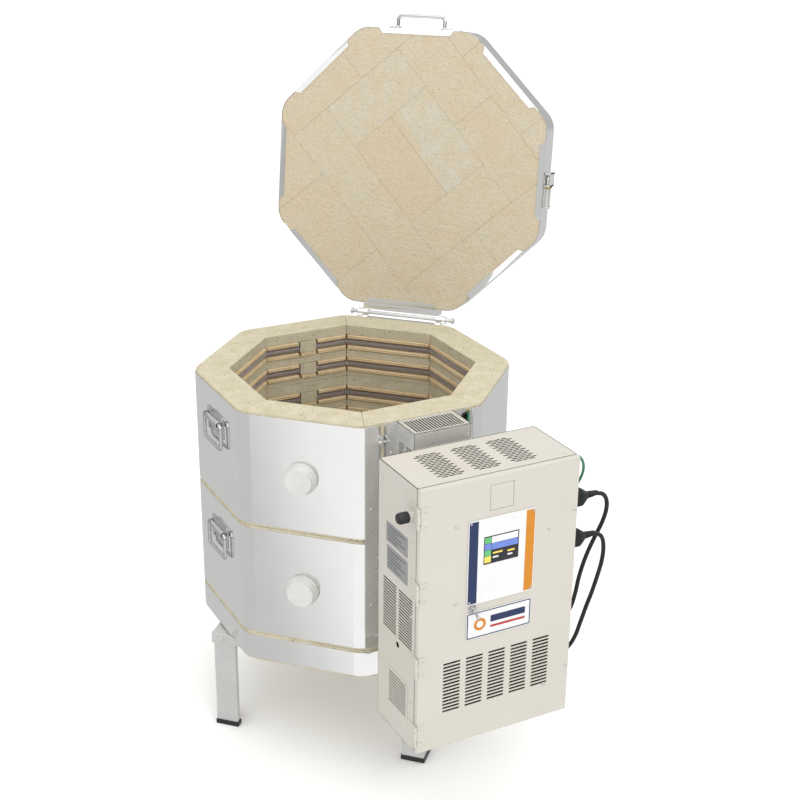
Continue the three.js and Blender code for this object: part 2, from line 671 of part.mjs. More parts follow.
function controlDoor() {
  const y = [CASE.left + GAP, CASE.right];
  const pan = block([CASE.front + GAP, DOOR_FACE], y, [CASE.bottom, CASE.top]);
  const inner = block([CASE.front - 5, DOOR_FACE - CASE_SHEET], grown(y, -CASE_SHEET),
    [CASE.bottom + CASE_SHEET, CASE.top - CASE_SHEET]);
  const knuckles = DOOR_HINGES.map((drop) => {
    const { low, high } = doorHinge(drop, 38);
    const leaf = block([DOOR_FACE - OVERLAP, DOOR_FACE + KNUCKLE.leaf], [CASE.left + 1, CASE.left + 16], [low, high]);
    const bridge = block([DOOR_FACE + 0.2, DOOR_FACE + KNUCKLE.leaf], [KNUCKLE.along, CASE.left + 2],
      [low + 9 + GAP, high - 9 - GAP]);
    const pin = rod("z", [KNUCKLE.out, KNUCKLE.along, low + 9 + GAP], 20 - 2 * GAP, KNUCKLE.radius, 10);
    return joined([leaf, bridge, pin]);
  });
  const cutters = [block([CASE.front, DOOR_FACE + 5], grown(SCREEN.along, GAP), heights(SCREEN.drops.map(
    (drop, i) => drop + (i ? GAP : -GAP))))];
  for (const column of LOUVRES.columns) {
    for (let i = 0; i < LOUVRES.rows; i += 1) {
      const high = KILN_TOP - LOUVRES.top - i * LOUVRES.pitch;
      cutters.push(block([DOOR_FACE - 4, DOOR_FACE + 4], [column, column + LOUVRES.width],
        [high - LOUVRES.height, high]));
    }
  }
  return cut(joined([pan.subtract(inner), ...knuckles]), cutters);
}

function overlayPanel() {
  const outline = rectangle(OVERLAY.along, heights(OVERLAY.drops), 3);
  outline.holes.push(rectangle(grown(SCREEN.along, GAP), grown(heights(SCREEN.drops), GAP)));
  return plateAcross(outline, DOOR_FACE + GAP, DOOR_FACE + GAP + OVERLAY.sheet);
}

// The screen with its housing, which reaches back through the door.
function touchScreen() {
  const z = heights(SCREEN.drops);
  return block([DOOR_FACE - 12, DOOR_FACE + 1.2], SCREEN.along, z);
}

function controllerBoard() {
  const card = block([DOOR_FACE - 16, DOOR_FACE - 14.4], [-30, 72], [KILN_TOP - 205, KILN_TOP - 110]);
  const posts = [];
  for (const y of [-24, 66]) {
    for (const z of [KILN_TOP - 198, KILN_TOP - 117]) {
      posts.push(rod("x", [DOOR_FACE - 15, y, z], 15 - CASE_SHEET - GAP, 3, 8));
    }
  }
  return joined([card, ...posts]);
}

function namePlate() {
  return plateAcross(rectangle(PLATE.along, heights(PLATE.drops)), DOOR_FACE + GAP, DOOR_FACE + GAP + PLATE.sheet);
}

const TOGGLE = { along: -34, drop: 260, pivot: DOOR_FACE + 7, droop: 25 };

// A lever that hangs down and out from its pivot in front of the door.
function toggleLever() {
  const pivot = [TOGGLE.pivot, TOGGLE.along, KILN_TOP - TOGGLE.drop];
  const lever = rod("x", [0, 0, 0], 20, 1.8, 8, 2.8).rotate([0, TOGGLE.droop, 0]).translate(pivot);
  const ball = rod("y", [pivot[0], pivot[1] - 2.5, pivot[2]], 5, 3, 10);
  return lever.add(ball);
}

function fuseCap() {
  const start = [FUSE.out, CASE.left - FUSE.stub - GAP - FUSE.cap, KILN_TOP - FUSE.drop];
  const body = rod("y", start, FUSE.cap, 11, 20);
  const ribs = [];
  const count = 10;
  for (let i = 0; i < count; i += 1) {
    const angle = (i * 2 * Math.PI) / count;
    const at = [start[0] + 11 * Math.cos(angle), start[1] + 3, start[2] + 11 * Math.sin(angle)];
    ribs.push(rod("y", at, FUSE.cap - 6, 1.1, 6));
  }
  return joined([body, ...ribs]);
}

function relayBank() {
  const back = CASE.back + CASE_SHEET + GAP;
  const base = block([back, back + 4], [-70, 80], [KILN_TOP - 400, KILN_TOP - 290]);
  const relays = [-52, 0, 52].map((y) =>
    block([back + 3, back + 38], [y - 17, y + 17], [KILN_TOP - 385, KILN_TOP - 305]));
  return joined([base, ...relays]);
}

function outletSockets() {
  const face = CASE.right + GAP;
  const plate = block(SOCKETS.out, [face, face + 2], [KILN_TOP - 225, KILN_TOP - 90]);
  const collars = SOCKETS.drops.map((drop) =>
    block([476, 504], [face, face + 5], [KILN_TOP - drop - 17, KILN_TOP - drop + 17]));
  return joined([plate, ...collars]);
}

function supplyGland() {
  const top = CASE.bottom - GAP;
  const flange = rod("z", [GLAND.out, GLAND.along, top - 9], 9, GLAND.radius, 16);
  const neck = rod("z", [GLAND.out, GLAND.along, top - 2], 14, 7.5, 14);
  const bore = rod("z", [GLAND.out, GLAND.along, top - 20], 50, 5, 12);
  return flange.add(neck).subtract(bore);
}

function addControls() {
  const add = (name, shape, material) => piece(name, shape, material, FACET.control);
  add("element_cover", elementCover(), "galvanised");
  add("mounting_rail", mountingRail(), "galvanised");
  add("control_box_bracket", boxBracket(), "cream");
  add("control_case", controlCase(), "cream");
  add("control_door", controlDoor(), "cream");
  add("overlay_panel", overlayPanel(), "plaque");
  add("touch_screen", touchScreen(), "screen");
  add("controller_board", controllerBoard(), "board");
  add("name_plate", namePlate(), "plaque");
  add("toggle_lever", toggleLever(), "chrome");
  add("fuse_cap", fuseCap(), "black");
  add("relay_bank", relayBank(), "black");
  add("outlet_sockets", outletSockets(), "black");
  add("supply_gland", supplyGland(), "black");
}

// ---------------------------------------------------------------- cords
// Each point is [out from the axis, along the control facet, below the kiln's top].
const ROUTES = {
  upper_jumper_cord: [
    [490, 228, 117], [490, 240, 118], [487, 257, 125], [481, 270, 142], [473, 277, 166], [464, 277, 194],
    [456, 271, 222], [449, 263, 252], [443, 256, 284], [438, 251, 318], [434, 248, 352], [428, 243, 384],
    [416, 232, 410], [398, 215, 426], [376, 193, 432], [354, 167, 427], [338, 139, 412], [329, 112, 397],
    [325, 88, 391], [325, 66, 390],
  ],
  lower_jumper_cord: [
    [490, 228, 197], [490, 240, 198], [487, 256, 206], [481, 268, 222], [474, 276, 246], [467, 279, 276],
    [460, 277, 308], [454, 272, 342], [448, 265, 376], [443, 258, 410], [438, 251, 442], [430, 241, 468],
    [416, 226, 486], [396, 206, 495], [374, 182, 493], [354, 155, 480], [340, 129, 460], [330, 106, 438],
    [325, 86, 425], [325, 66, 420],
  ],
  ground_wire: [
    [502, 176, 30], [502, 187, 31], [499, 198, 41], [494, 206, 58], [485, 210, 78], [473, 212, 97],
    [461, 212, 113], [447, 209, 131], [430, 203, 147], [408, 193, 157], [384, 179, 157], [360, 161, 149],
    [338, 142, 135], [320, 124, 120], [307, 109, 106], [298, 98, 90], [293.5, 92, 70], [292, 90, 48],
    [292, 90, 26], [292, 90, 6],
  ],
};
const CORD = { upper_jumper_cord: 8, lower_jumper_cord: 8, ground_wire: 5 };

function controlPoint([out, along, drop]) {
  const turn = THREE.MathUtils.degToRad(FACET.control);
  return new THREE.Vector3(out, along, KILN_TOP - drop).applyAxisAngle(new THREE.Vector3(0, 0, 1), turn);
}

function cord(name, material) {
  const path = new THREE.CatmullRomCurve3(ROUTES[name].map(controlPoint));
  const diameter = CORD[name];
  const steps = Math.round(path.getLength() / (2.4 * diameter));
  const section = new THREE.Shape().absarc(0, 0, diameter / 2, 0, 2 * Math.PI);
  const options = { steps, extrudePath: path, curveSegments: 4 };
  const mesh = piece(name, solid(new THREE.ExtrudeGeometry(section, options)), material);
  cordMeshes.push(mesh);
}

function cordPlug(drop) {
  const face = CASE.right + GAP + 5 + GAP;
  const at = (along) => [490, along, KILN_TOP - drop];
  const body = block([477, 503], [face, 208], [KILN_TOP - drop - 16, KILN_TOP - drop + 16]);
  const shoulder = rod("y", at(207), 12, 13, 12, 7);
  const neck = rod("y", at(218), 9.6, 7, 12, 5);
  return joined([body, shoulder, neck]);
}

function addCords() {
  cord("upper_jumper_cord", "black");
  cord("lower_jumper_cord", "black");
  cord("ground_wire", "green");
  ["upper", "lower"].forEach((name, i) => {
    cordMeshes.push(piece(`${name}_jumper_plug`, cordPlug(SOCKETS.drops[i]), "black", FACET.control));
  });
}

// ---------------------------------------------------------------- assembly
addStand();
addBody();
addPeepholePlugs();
addHandles();
addLid();
addControls();
addCords();

// The kiln is centred on the origin by its box, leaving the cords and their plugs out.
kiln.updateMatrixWorld(true);
const extent = new THREE.Box3();
kiln.traverse((node) => {
  if (node.isMesh && !cordMeshes.includes(node)) extent.expandByObject(node, true);
});
const middle = extent.getCenter(new THREE.Vector3());
kiln.position.set(-middle.x, -middle.y, -extent.min.z);

export default kiln;
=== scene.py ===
"""The looks of an eight-sided pottery kiln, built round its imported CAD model.

Shapes are drawn in millimetres in the frame of one facet: x is out from the kiln's axis, y runs along
the facet and z is up from the floor. A matrix then puts them in place, in metres.
"""

import math

import bmesh
import bpy
from mathutils import Matrix, Vector
from mathutils.geometry import tessellate_polygon


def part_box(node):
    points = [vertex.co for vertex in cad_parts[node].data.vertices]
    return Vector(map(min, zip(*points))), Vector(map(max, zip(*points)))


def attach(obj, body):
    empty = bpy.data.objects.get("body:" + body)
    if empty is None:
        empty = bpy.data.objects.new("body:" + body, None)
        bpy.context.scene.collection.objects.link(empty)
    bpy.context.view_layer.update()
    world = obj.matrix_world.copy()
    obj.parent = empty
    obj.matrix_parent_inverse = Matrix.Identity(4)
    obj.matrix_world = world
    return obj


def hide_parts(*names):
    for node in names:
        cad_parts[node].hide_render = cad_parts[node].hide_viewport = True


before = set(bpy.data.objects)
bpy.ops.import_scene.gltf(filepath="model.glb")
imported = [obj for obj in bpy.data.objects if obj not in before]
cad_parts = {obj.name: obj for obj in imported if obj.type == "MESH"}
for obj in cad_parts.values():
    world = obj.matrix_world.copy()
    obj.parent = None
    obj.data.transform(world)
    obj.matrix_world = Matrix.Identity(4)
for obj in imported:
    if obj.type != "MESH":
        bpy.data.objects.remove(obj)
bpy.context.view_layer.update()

# ---------------------------------------------------------------- sizes, as in the CAD model
SIDES = 8
HALF = math.pi / SIDES
TAN = math.tan(HALF)
# How far each of these surfaces stands from the kiln's axis.
CHAMBER = 222.25
BRICK = 285.75
JACKET = 287.05
ON_JACKET = 287.35
# The radius of the kiln's upright corners, then the heights of a section and a course of bricks.
CORNER = 50
SECTION = 228.6
COURSE = SECTION / 2
STAND_TOP = 213.5
RING_BASE = 272.8
TOP = 730.0
ROW_DROPS = (38, 87)
PEEP_DROP = 117
LID_OPEN = 99
LID_LOW = TOP + 1.3
LID_HIGH = TOP + 76.5
HINGE_OUT = BRICK + 21.7
HINGE_UP = TOP + 3.5
# The peepholes are on facet B, the control box on C, the lid's tensioner on D and its hinge on F.
FACETS = {"A": -135, "B": -90, "C": -45, "D": 0, "E": 45, "F": 90, "G": 135, "H": 180}
CASE = {"back": 382, "front": 518, "left": -138, "right": 173, "top": TOP - 17, "low": TOP - 524}
DOOR = 530
DOOR_HINGES = (67, 207, 350, 486)
LOUVRES = {
    "columns": (-88, -43, 2, 47.5, 93), "wide": 34.5, "rows": 15, "top": TOP - 355, "pitch": 6.75, "high": 4.1
}

ring_low, ring_high = (Vector(corner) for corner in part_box("upper_brick_ring"))
AXIS = Matrix.Translation(((ring_low.x + ring_high.x) / 2, (ring_low.y + ring_high.y) / 2, 0))
MM = Matrix.Scale(0.001, 4)

# Directions for someone who faces a facet.
OUT = (1, 0, 0)
RIGHT = (0, 1, 0)
LEFT = (0, -1, 0)
UP = (0, 0, 1)
DOWN = (0, 0, -1)


def about_z(degrees):
    return Matrix.Rotation(math.radians(degrees), 4, "Z")


def on_facet(name):
    return AXIS @ MM @ about_z(FACETS[name])


def on_lid(name="D"):
    """Places a shape that is drawn on the shut lid, with the lid swung back on its hinge."""
    hinge = Matrix.Translation((0, HINGE_OUT, HINGE_UP))
    swing = hinge @ Matrix.Rotation(math.radians(-LID_OPEN), 4, "X") @ hinge.inverted()
    return AXIS @ MM @ swing @ about_z(FACETS[name])


BOX_SIDE = on_facet("C")


def placed(name, data):
    """A new object in the scene."""
    piece = bpy.data.objects.new(name, data)
    bpy.context.scene.collection.objects.link(piece)
    return piece


# ---------------------------------------------------------------- outlines
def circle(x, y, radius, sides=20):
    return [(x + radius * math.cos(2 * math.pi * i / sides), y + radius * math.sin(2 * math.pi * i / sides))
            for i in range(sides)]


def slot(x, y, steps=4):
    """A slot with round ends that fills the rectangle x by y."""
    wide, high = x[1] - x[0], y[1] - y[0]
    return rounded(x, y, min(wide, high) / 2 - 0.01, steps)


def rounded(x, y, radius, steps=4):
    points = []
    corners = ((x[1] - radius, y[0] + radius, -90), (x[1] - radius, y[1] - radius, 0),
               (x[0] + radius, y[1] - radius, 90), (x[0] + radius, y[0] + radius, 180))
    for cx, cy, start in corners:
        for i in range(steps + 1):
            angle = math.radians(start + 90 * i / steps)
            points.append((cx + radius * math.cos(angle), cy + radius * math.sin(angle)))
    return points


def rectangle(x, y):
    return [(x[0], y[0]), (x[1], y[0]), (x[1], y[1]), (x[0], y[1])]


def grown(span, by):
    return (span[0] - by, span[1] + by)


def triangulated(loops):
    """Triangles that fill the first loop of points and leave the others open."""
    return tessellate_polygon([[Vector((p[0], p[1], 0)) for p in loop] for loop in loops])


# ---------------------------------------------------------------- camera, light and floor
# The camera stands off from the kiln's axis, in metres, and is turned in degrees.
VIEW = {
    "place": (0.85574, -2.46874, 1.70859), "yaw": -17.107, "pitch": -21.94, "roll": 0.581, "lens": 64.34,
    "sensor": 36,
}


def make_camera():
    data = bpy.data.cameras.new("camera")
    data.lens = VIEW["lens"]
    data.sensor_width = VIEW["sensor"]
    camera = placed("camera", data)
    tilt = Matrix.Rotation(math.radians(90 + VIEW["pitch"]), 4, "X")
    facing = about_z(-VIEW["yaw"]) @ tilt @ about_z(VIEW["roll"])
    camera.matrix_world = AXIS @ Matrix.Translation(VIEW["place"]) @ facing
    bpy.context.scene.camera = camera


def make_world():
    """A white room above. Near the horizon and below it is a card, bright on one side, for the steel."""
    world = bpy.data.worlds.new("studio")
    bpy.context.scene.world = world
    world.use_nodes = True
    nodes, links = world.node_tree.nodes, world.node_tree.links
    background = nodes["Background"]
    background.inputs["Color"].default_value = (1, 1, 1, 1)
    where = nodes.new("ShaderNodeTexCoord").outputs["Generated"]

    def level(towards, start, end, low, high):
        """Goes from `low` to `high` as the direction turns towards one side."""
        facing = nodes.new("ShaderNodeVectorMath")
        facing.operation = "DOT_PRODUCT"
        facing.inputs[1].default_value = Vector(towards).normalized()
        links.new(where, facing.inputs[0])
        ramp = nodes.new("ShaderNodeMapRange")
        ramp.interpolation_type = "SMOOTHSTEP"
        for socket, value in (("From Min", start), ("From Max", end), ("To Min", low), ("To Max", high)):
            ramp.inputs[socket].default_value = value
        links.new(facing.outputs["Value"], ramp.inputs["Value"])
        return ramp.outputs["Result"]

    def mixed(factor, first, second):
        blend = nodes.new("ShaderNodeMix")
        for socket, source in zip((0, 2, 3), (factor, first, second)):
            links.new(source, blend.inputs[socket])
        return blend.outputs[0]

    bright_side, card_side = (0.93, -0.3, 0.2), (0.5, -0.866, 0)
    room = level(bright_side, -0.35, 0.3, 0.96, 1.42)
    card = level(card_side, 0.5, 0.6, 0.62, 1.05)
    horizon = level(card_side, 0.5, 0.6, 0.5, 0.62)
    low = mixed(level(UP, -0.2, -0.12, 0, 1), card, horizon)
    links.new(mixed(level(UP, 0.13, 0.2, 0, 1), low, room), background.inputs["Strength"])


def make_lights():
    kiln_middle = Vector((0, 0, 0.6))
    for name, place, size, power in (("key", (1.8, -2.6, 3.2), 1.8, 24), ("top", (-0.6, -0.6, 4.2), 3.0, 22)):
        data = bpy.data.lights.new(name, "AREA")
        data.size = size
        data.energy = power
        light = placed(name, data)
        light.location = place
        light.rotation_euler = (kiln_middle - Vector(place)).to_track_quat("-Z", "Y").to_euler()


def staged(name, verts, faces, paint):
    mesh = bpy.data.meshes.new(name)
    mesh.from_pydata(verts, [], faces)
    mesh.shade_smooth()
    mesh.materials.append(paint)
    piece = placed(name, mesh)
    piece.visible_glossy = False
    return piece


def make_backdrop(paint):
    """A white wall far round the floor. Only the camera sees it, so light and reflections pass it."""
    radius, height, sides = 16, 14, 48
    verts = [(x, y, z) for z in (0, height) for x, y in circle(0, 0, radius, sides)]
    faces = [(i, (i + 1) % sides, sides + (i + 1) % sides, sides + i) for i in range(sides)]
    backdrop = staged("backdrop", verts, faces, paint)
    backdrop.visible_diffuse = False
    backdrop.visible_shadow = False


def make_floor():
    """A wide white floor. The steel doesn't mirror it."""
    paint = bpy.data.materials.new("floor")
    paint.use_nodes = True
    shader = paint.node_tree.nodes["Principled BSDF"]
    shader.inputs["Base Color"].default_value = (0.97, 0.97, 0.97, 1)
    shader.inputs["Roughness"].default_value = 0.9
    shader.inputs["Specular IOR Level"].default_value = 0
    reach = (-20, 20)
    staged("floor", [(x, y, 0) for x, y in rectangle(reach, reach)], [(0, 1, 2, 3)], paint)
    make_backdrop(paint)


make_camera()
make_world()
make_lights()
make_floor()
bpy.context.scene.view_settings.view_transform = "Standard"


# ---------------------------------------------------------------- materials
def linear(red, green, blue):
    def one(level):
        level /= 255
        return level / 12.92 if level <= 0.04045 else ((level + 0.055) / 1.055) ** 2.4
    return (one(red), one(green), one(blue), 1)


class Paint:
    """Builds one procedural material out of noise in the object's own coordinates, in metres."""

    def __init__(self, name, roughness, metallic=0.0):
        self.material = bpy.data.materials.new(name)
        self.material.use_nodes = True
        self.nodes = self.material.node_tree.nodes
        self.links = self.material.node_tree.links
        self.shader = self.nodes["Principled BSDF"]
        self.shader.inputs["Metallic"].default_value = metallic
        self.shader.inputs["Roughness"].default_value = roughness
        self.where = self.nodes.new("ShaderNodeTexCoord").outputs["Object"]
        self.height = None

    def put(self, source, target):
        self.links.new(source, target)

    def stretched(self, scale):
        mapping = self.nodes.new("ShaderNodeMapping")
        mapping.inputs["Scale"].default_value = scale
        self.put(self.where, mapping.inputs["Vector"])
        return mapping.outputs["Vector"]

    def noise(self, size, detail=4, rough=0.55, stretch=None):
        """Noise whose grains are about `size` millimetres."""
        node = self.nodes.new("ShaderNodeTexNoise")
        node.inputs["Scale"].default_value = 1000 / size
        node.inputs["Detail"].default_value = detail
        node.inputs["Roughness"].default_value = rough
        self.put(self.stretched(stretch) if stretch else self.where, node.inputs["Vector"])
        return node.outputs["Fac"]

    def cells(self, size):
        node = self.nodes.new("ShaderNodeTexVoronoi")
        node.inputs["Scale"].default_value = 1000 / size
        self.put(self.where, node.inputs["Vector"])
        return node.outputs["Distance"]

    def ranged(self, source, low, high, out_low=0.0, out_high=1.0):
        node = self.nodes.new("ShaderNodeMapRange")
        values = (low, high, out_low, out_high)
        for socket, value in zip(("From Min", "From Max", "To Min", "To Max"), values):
            node.inputs[socket].default_value = value
        self.put(source, node.inputs["Value"])
        return node.outputs["Result"]

    def mixed(self, factor, first, second):
        """A colour between two: each is a colour or another node's output."""
        node = self.nodes.new("ShaderNodeMix")
        node.data_type = "RGBA"
        for socket, value in ((node.inputs[6], first), (node.inputs[7], second)):
            if isinstance(value, tuple):
                socket.default_value = value
            else:
                self.put(value, socket)
        self.put(factor, node.inputs[0])
        return node.outputs[2]

    def attribute(self, name):
        node = self.nodes.new("ShaderNodeAttribute")
        node.attribute_name = name
        return node.outputs["Fac"]

    def colour(self, source):
        self.put(source, self.shader.inputs["Base Color"])

    def rough(self, source, low, high):
        self.put(self.ranged(source, 0.3, 0.7, low, high), self.shader.inputs["Roughness"])

    def bump(self, source, depth):
        """Adds relief that is `depth` millimetres deep."""
        node = self.nodes.new("ShaderNodeBump")
        node.inputs["Strength"].default_value = 1
        node.inputs["Distance"].default_value = depth / 1000
        self.put(source, node.inputs["Height"])
        if self.height is not None:
            self.put(self.height, node.inputs["Normal"])
        self.height = node.outputs["Normal"]
        self.put(self.height, self.shader.inputs["Normal"])


def firebrick(name, light, dark, pore, stipple, size=3.2):
    """Soft brick with pores. A face's tone darkens it. Its stipple is relief with grains of `size`."""
    paint = Paint(name, roughness=0.95)
    paint.shader.inputs["Specular IOR Level"].default_value = 0.15
    body = paint.mixed(paint.ranged(paint.noise(28, 3), 0.35, 0.65), light, dark)
    toned = paint.mixed(paint.attribute("tone"), body, dark)
    grain = paint.noise(1.6, 5, 0.65)
    grainy = paint.mixed(paint.ranged(grain, 0.3, 0.6, 0.7, 1.0), (0, 0, 0, 1), toned)
    spots = paint.ranged(paint.cells(8), 0.12, 0.22, 1, 0)
    rare = paint.ranged(paint.noise(5, 2), 0.46, 0.56)
    both = paint.nodes.new("ShaderNodeMath")
    both.operation = "MULTIPLY"
    paint.put(spots, both.inputs[0])
    paint.put(rare, both.inputs[1])
    paint.colour(paint.mixed(both.outputs[0], grainy, pore))
    paint.bump(paint.noise(size, 4, 0.6), stipple)
    paint.bump(grain, 0.25)
    paint.bump(paint.ranged(both.outputs[0], 0, 1, 1, 0), 0.5)
    return paint.material


def metal(name, colour, roughness, grain=0.03, wave=0.0, smudge=0.1, cloudy=0.9, solid=1.0):
    """Sheet or wire with clouds and smudges. Grain and wave are fine and broad relief in millimetres."""
    paint = Paint(name, roughness, solid)
    dull = tuple(channel * cloudy for channel in colour[:3]) + (1,)
    paint.colour(paint.mixed(paint.ranged(paint.noise(60, 3), 0.3, 0.7), colour, dull))
    paint.rough(paint.noise(34, 5, 0.65), max(0.02, roughness - smudge / 2), roughness + smudge / 2)
    if wave:
        paint.bump(paint.noise(70, 1, 0.4, (1, 1, 0.12)), wave)
    if grain:
        paint.bump(paint.noise(2.2, 4), grain)
    return paint.material


def plastic(name, colour, roughness, grain=0.05, size=1.2, variation=0.82):
    paint = Paint(name, roughness)
    dull = tuple(channel * variation for channel in colour[:3]) + (1,)
    paint.colour(paint.mixed(paint.ranged(paint.noise(24, 4), 0.35, 0.7), colour, dull))
    paint.rough(paint.noise(15, 4), roughness - 0.07, roughness + 0.08)
    paint.bump(paint.noise(size, 3, 0.6), grain)
    return paint.material


def printed(name, colour, roughness, variation):
    return plastic(name, colour, roughness, 0.01, 2.0, variation)


def lit(name, colour, roughness=0.2, variation=0.96):
    """Display glass in one colour."""
    return plastic(name, colour, roughness, 0.0, 2.0, variation)


def powder_coat(name, colour):
    """Baked enamel paint with a fine orange peel, a little greyer where hands and heat have been."""
    paint = Paint(name, roughness=0.5)
    warm = (colour[0] * 0.975, colour[1] * 0.965, colour[2] * 0.94, 1)
    paint.colour(paint.mixed(paint.ranged(paint.noise(120, 4), 0.35, 0.7), colour, warm))
    paint.rough(paint.noise(40, 4), 0.42, 0.56)
    paint.bump(paint.noise(1.7, 2, 0.5), 0.035)
    paint.shader.inputs["Specular IOR Level"].default_value = 0.4
    return paint.material


PAINTS = {
    "brick": firebrick("firebrick", linear(210, 203, 180), linear(196, 187, 160), linear(112, 94, 60), 0.45),
    "lid_brick": firebrick("lid_firebrick", linear(204, 199, 182), linear(206, 191, 163),
                           linear(188, 174, 146), 3.0, size=6),
    "holder": firebrick("element_holder", linear(224, 204, 168), linear(208, 184, 144), linear(150, 110, 70),
                        0.12),
    "coil": metal("resistance_wire", linear(196, 186, 182), 0.5, solid=0.35),
    "stainless": metal("stainless_sheet", linear(238, 238, 237), 0.1, 0.0, wave=0.1, smudge=0.03,
                       cloudy=0.975),
    "galvanised": metal("zinc_plated_sheet", linear(222, 222, 219), 0.3, wave=0.12, solid=0.6),
    "chrome": metal("chrome_plate", linear(196, 196, 197), 0.09, 0.0, smudge=0.05),
    "steel": metal("galvanised_steel", linear(212, 212, 210), 0.4, 0.05, wave=0.1, solid=0.7),
    "brass": metal("brass", linear(205, 176, 84), 0.3),
    "cream": powder_coat("cream_powder_coat", linear(196, 192, 183)),
    "ceramic": plastic("cast_ceramic", linear(206, 206, 201), 0.75, 0.12, 1.6, 0.93),
    "plaque": printed("printed_panel", linear(222, 222, 222), 0.35, 0.96),
    "navy": printed("navy_print", linear(25, 44, 86), 0.5, 0.93),
    "orange": printed("orange_print", linear(203, 128, 16), 0.5, 0.95),
    "red": printed("red_print", linear(178, 50, 48), 0.38, 0.95),
    "grey": printed("rating_plate", linear(140, 140, 141), 0.4, 0.93),
    "ink": printed("grey_print", linear(86, 87, 90), 0.4, 0.93),
    "black": plastic("black_plastic", linear(21, 21, 22), 0.42, 0.05, 0.9, 0.8),
    "rubber": plastic("cord_rubber", linear(20, 20, 21), 0.5, 0.04, 0.8, 0.75),
    # Painted shade: a near-black for the sheets that stand in for shadow inside the control case, inside the
    # element cover and behind the knockout's gap.
    "dark": plastic("painted_shade_dark", linear(26, 25, 24), 0.8, 0.02, 1.5, 0.8),
    "screen": lit("display_black", linear(28, 30, 38), 0.16, 0.9),
    "screen_blue": lit("display_blue", linear(104, 128, 204)),
    "screen_green": lit("display_green", linear(94, 178, 112)),
    "screen_yellow": lit("display_yellow", linear(238, 208, 92)),
    "board": plastic("circuit_board", linear(48, 108, 70), 0.45, 0.03, 1.5, 0.85),
    "green": plastic("green_insulation", linear(64, 132, 98), 0.42, 0.02, 1.5, 0.9),
}


# ---------------------------------------------------------------- mesh building
def declare(piece, body, nodes=()):
    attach(piece, body)
    if nodes:
        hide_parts(*nodes)
    return piece


def finish_mesh(mesh, angle=35):
    mesh.shade_smooth()
    mesh.set_sharp_from_angle(angle=math.radians(angle))


def add_bevel(piece, width, segments=2, angle=35):
    bevel = piece.modifiers.new("edges", "BEVEL")
    bevel.width = width / 1000
    bevel.segments = segments
    bevel.limit_method = "ANGLE"
    bevel.angle_limit = math.radians(angle)
    bevel.harden_normals = True
    bevel.miter_outer = "MITER_ARC"


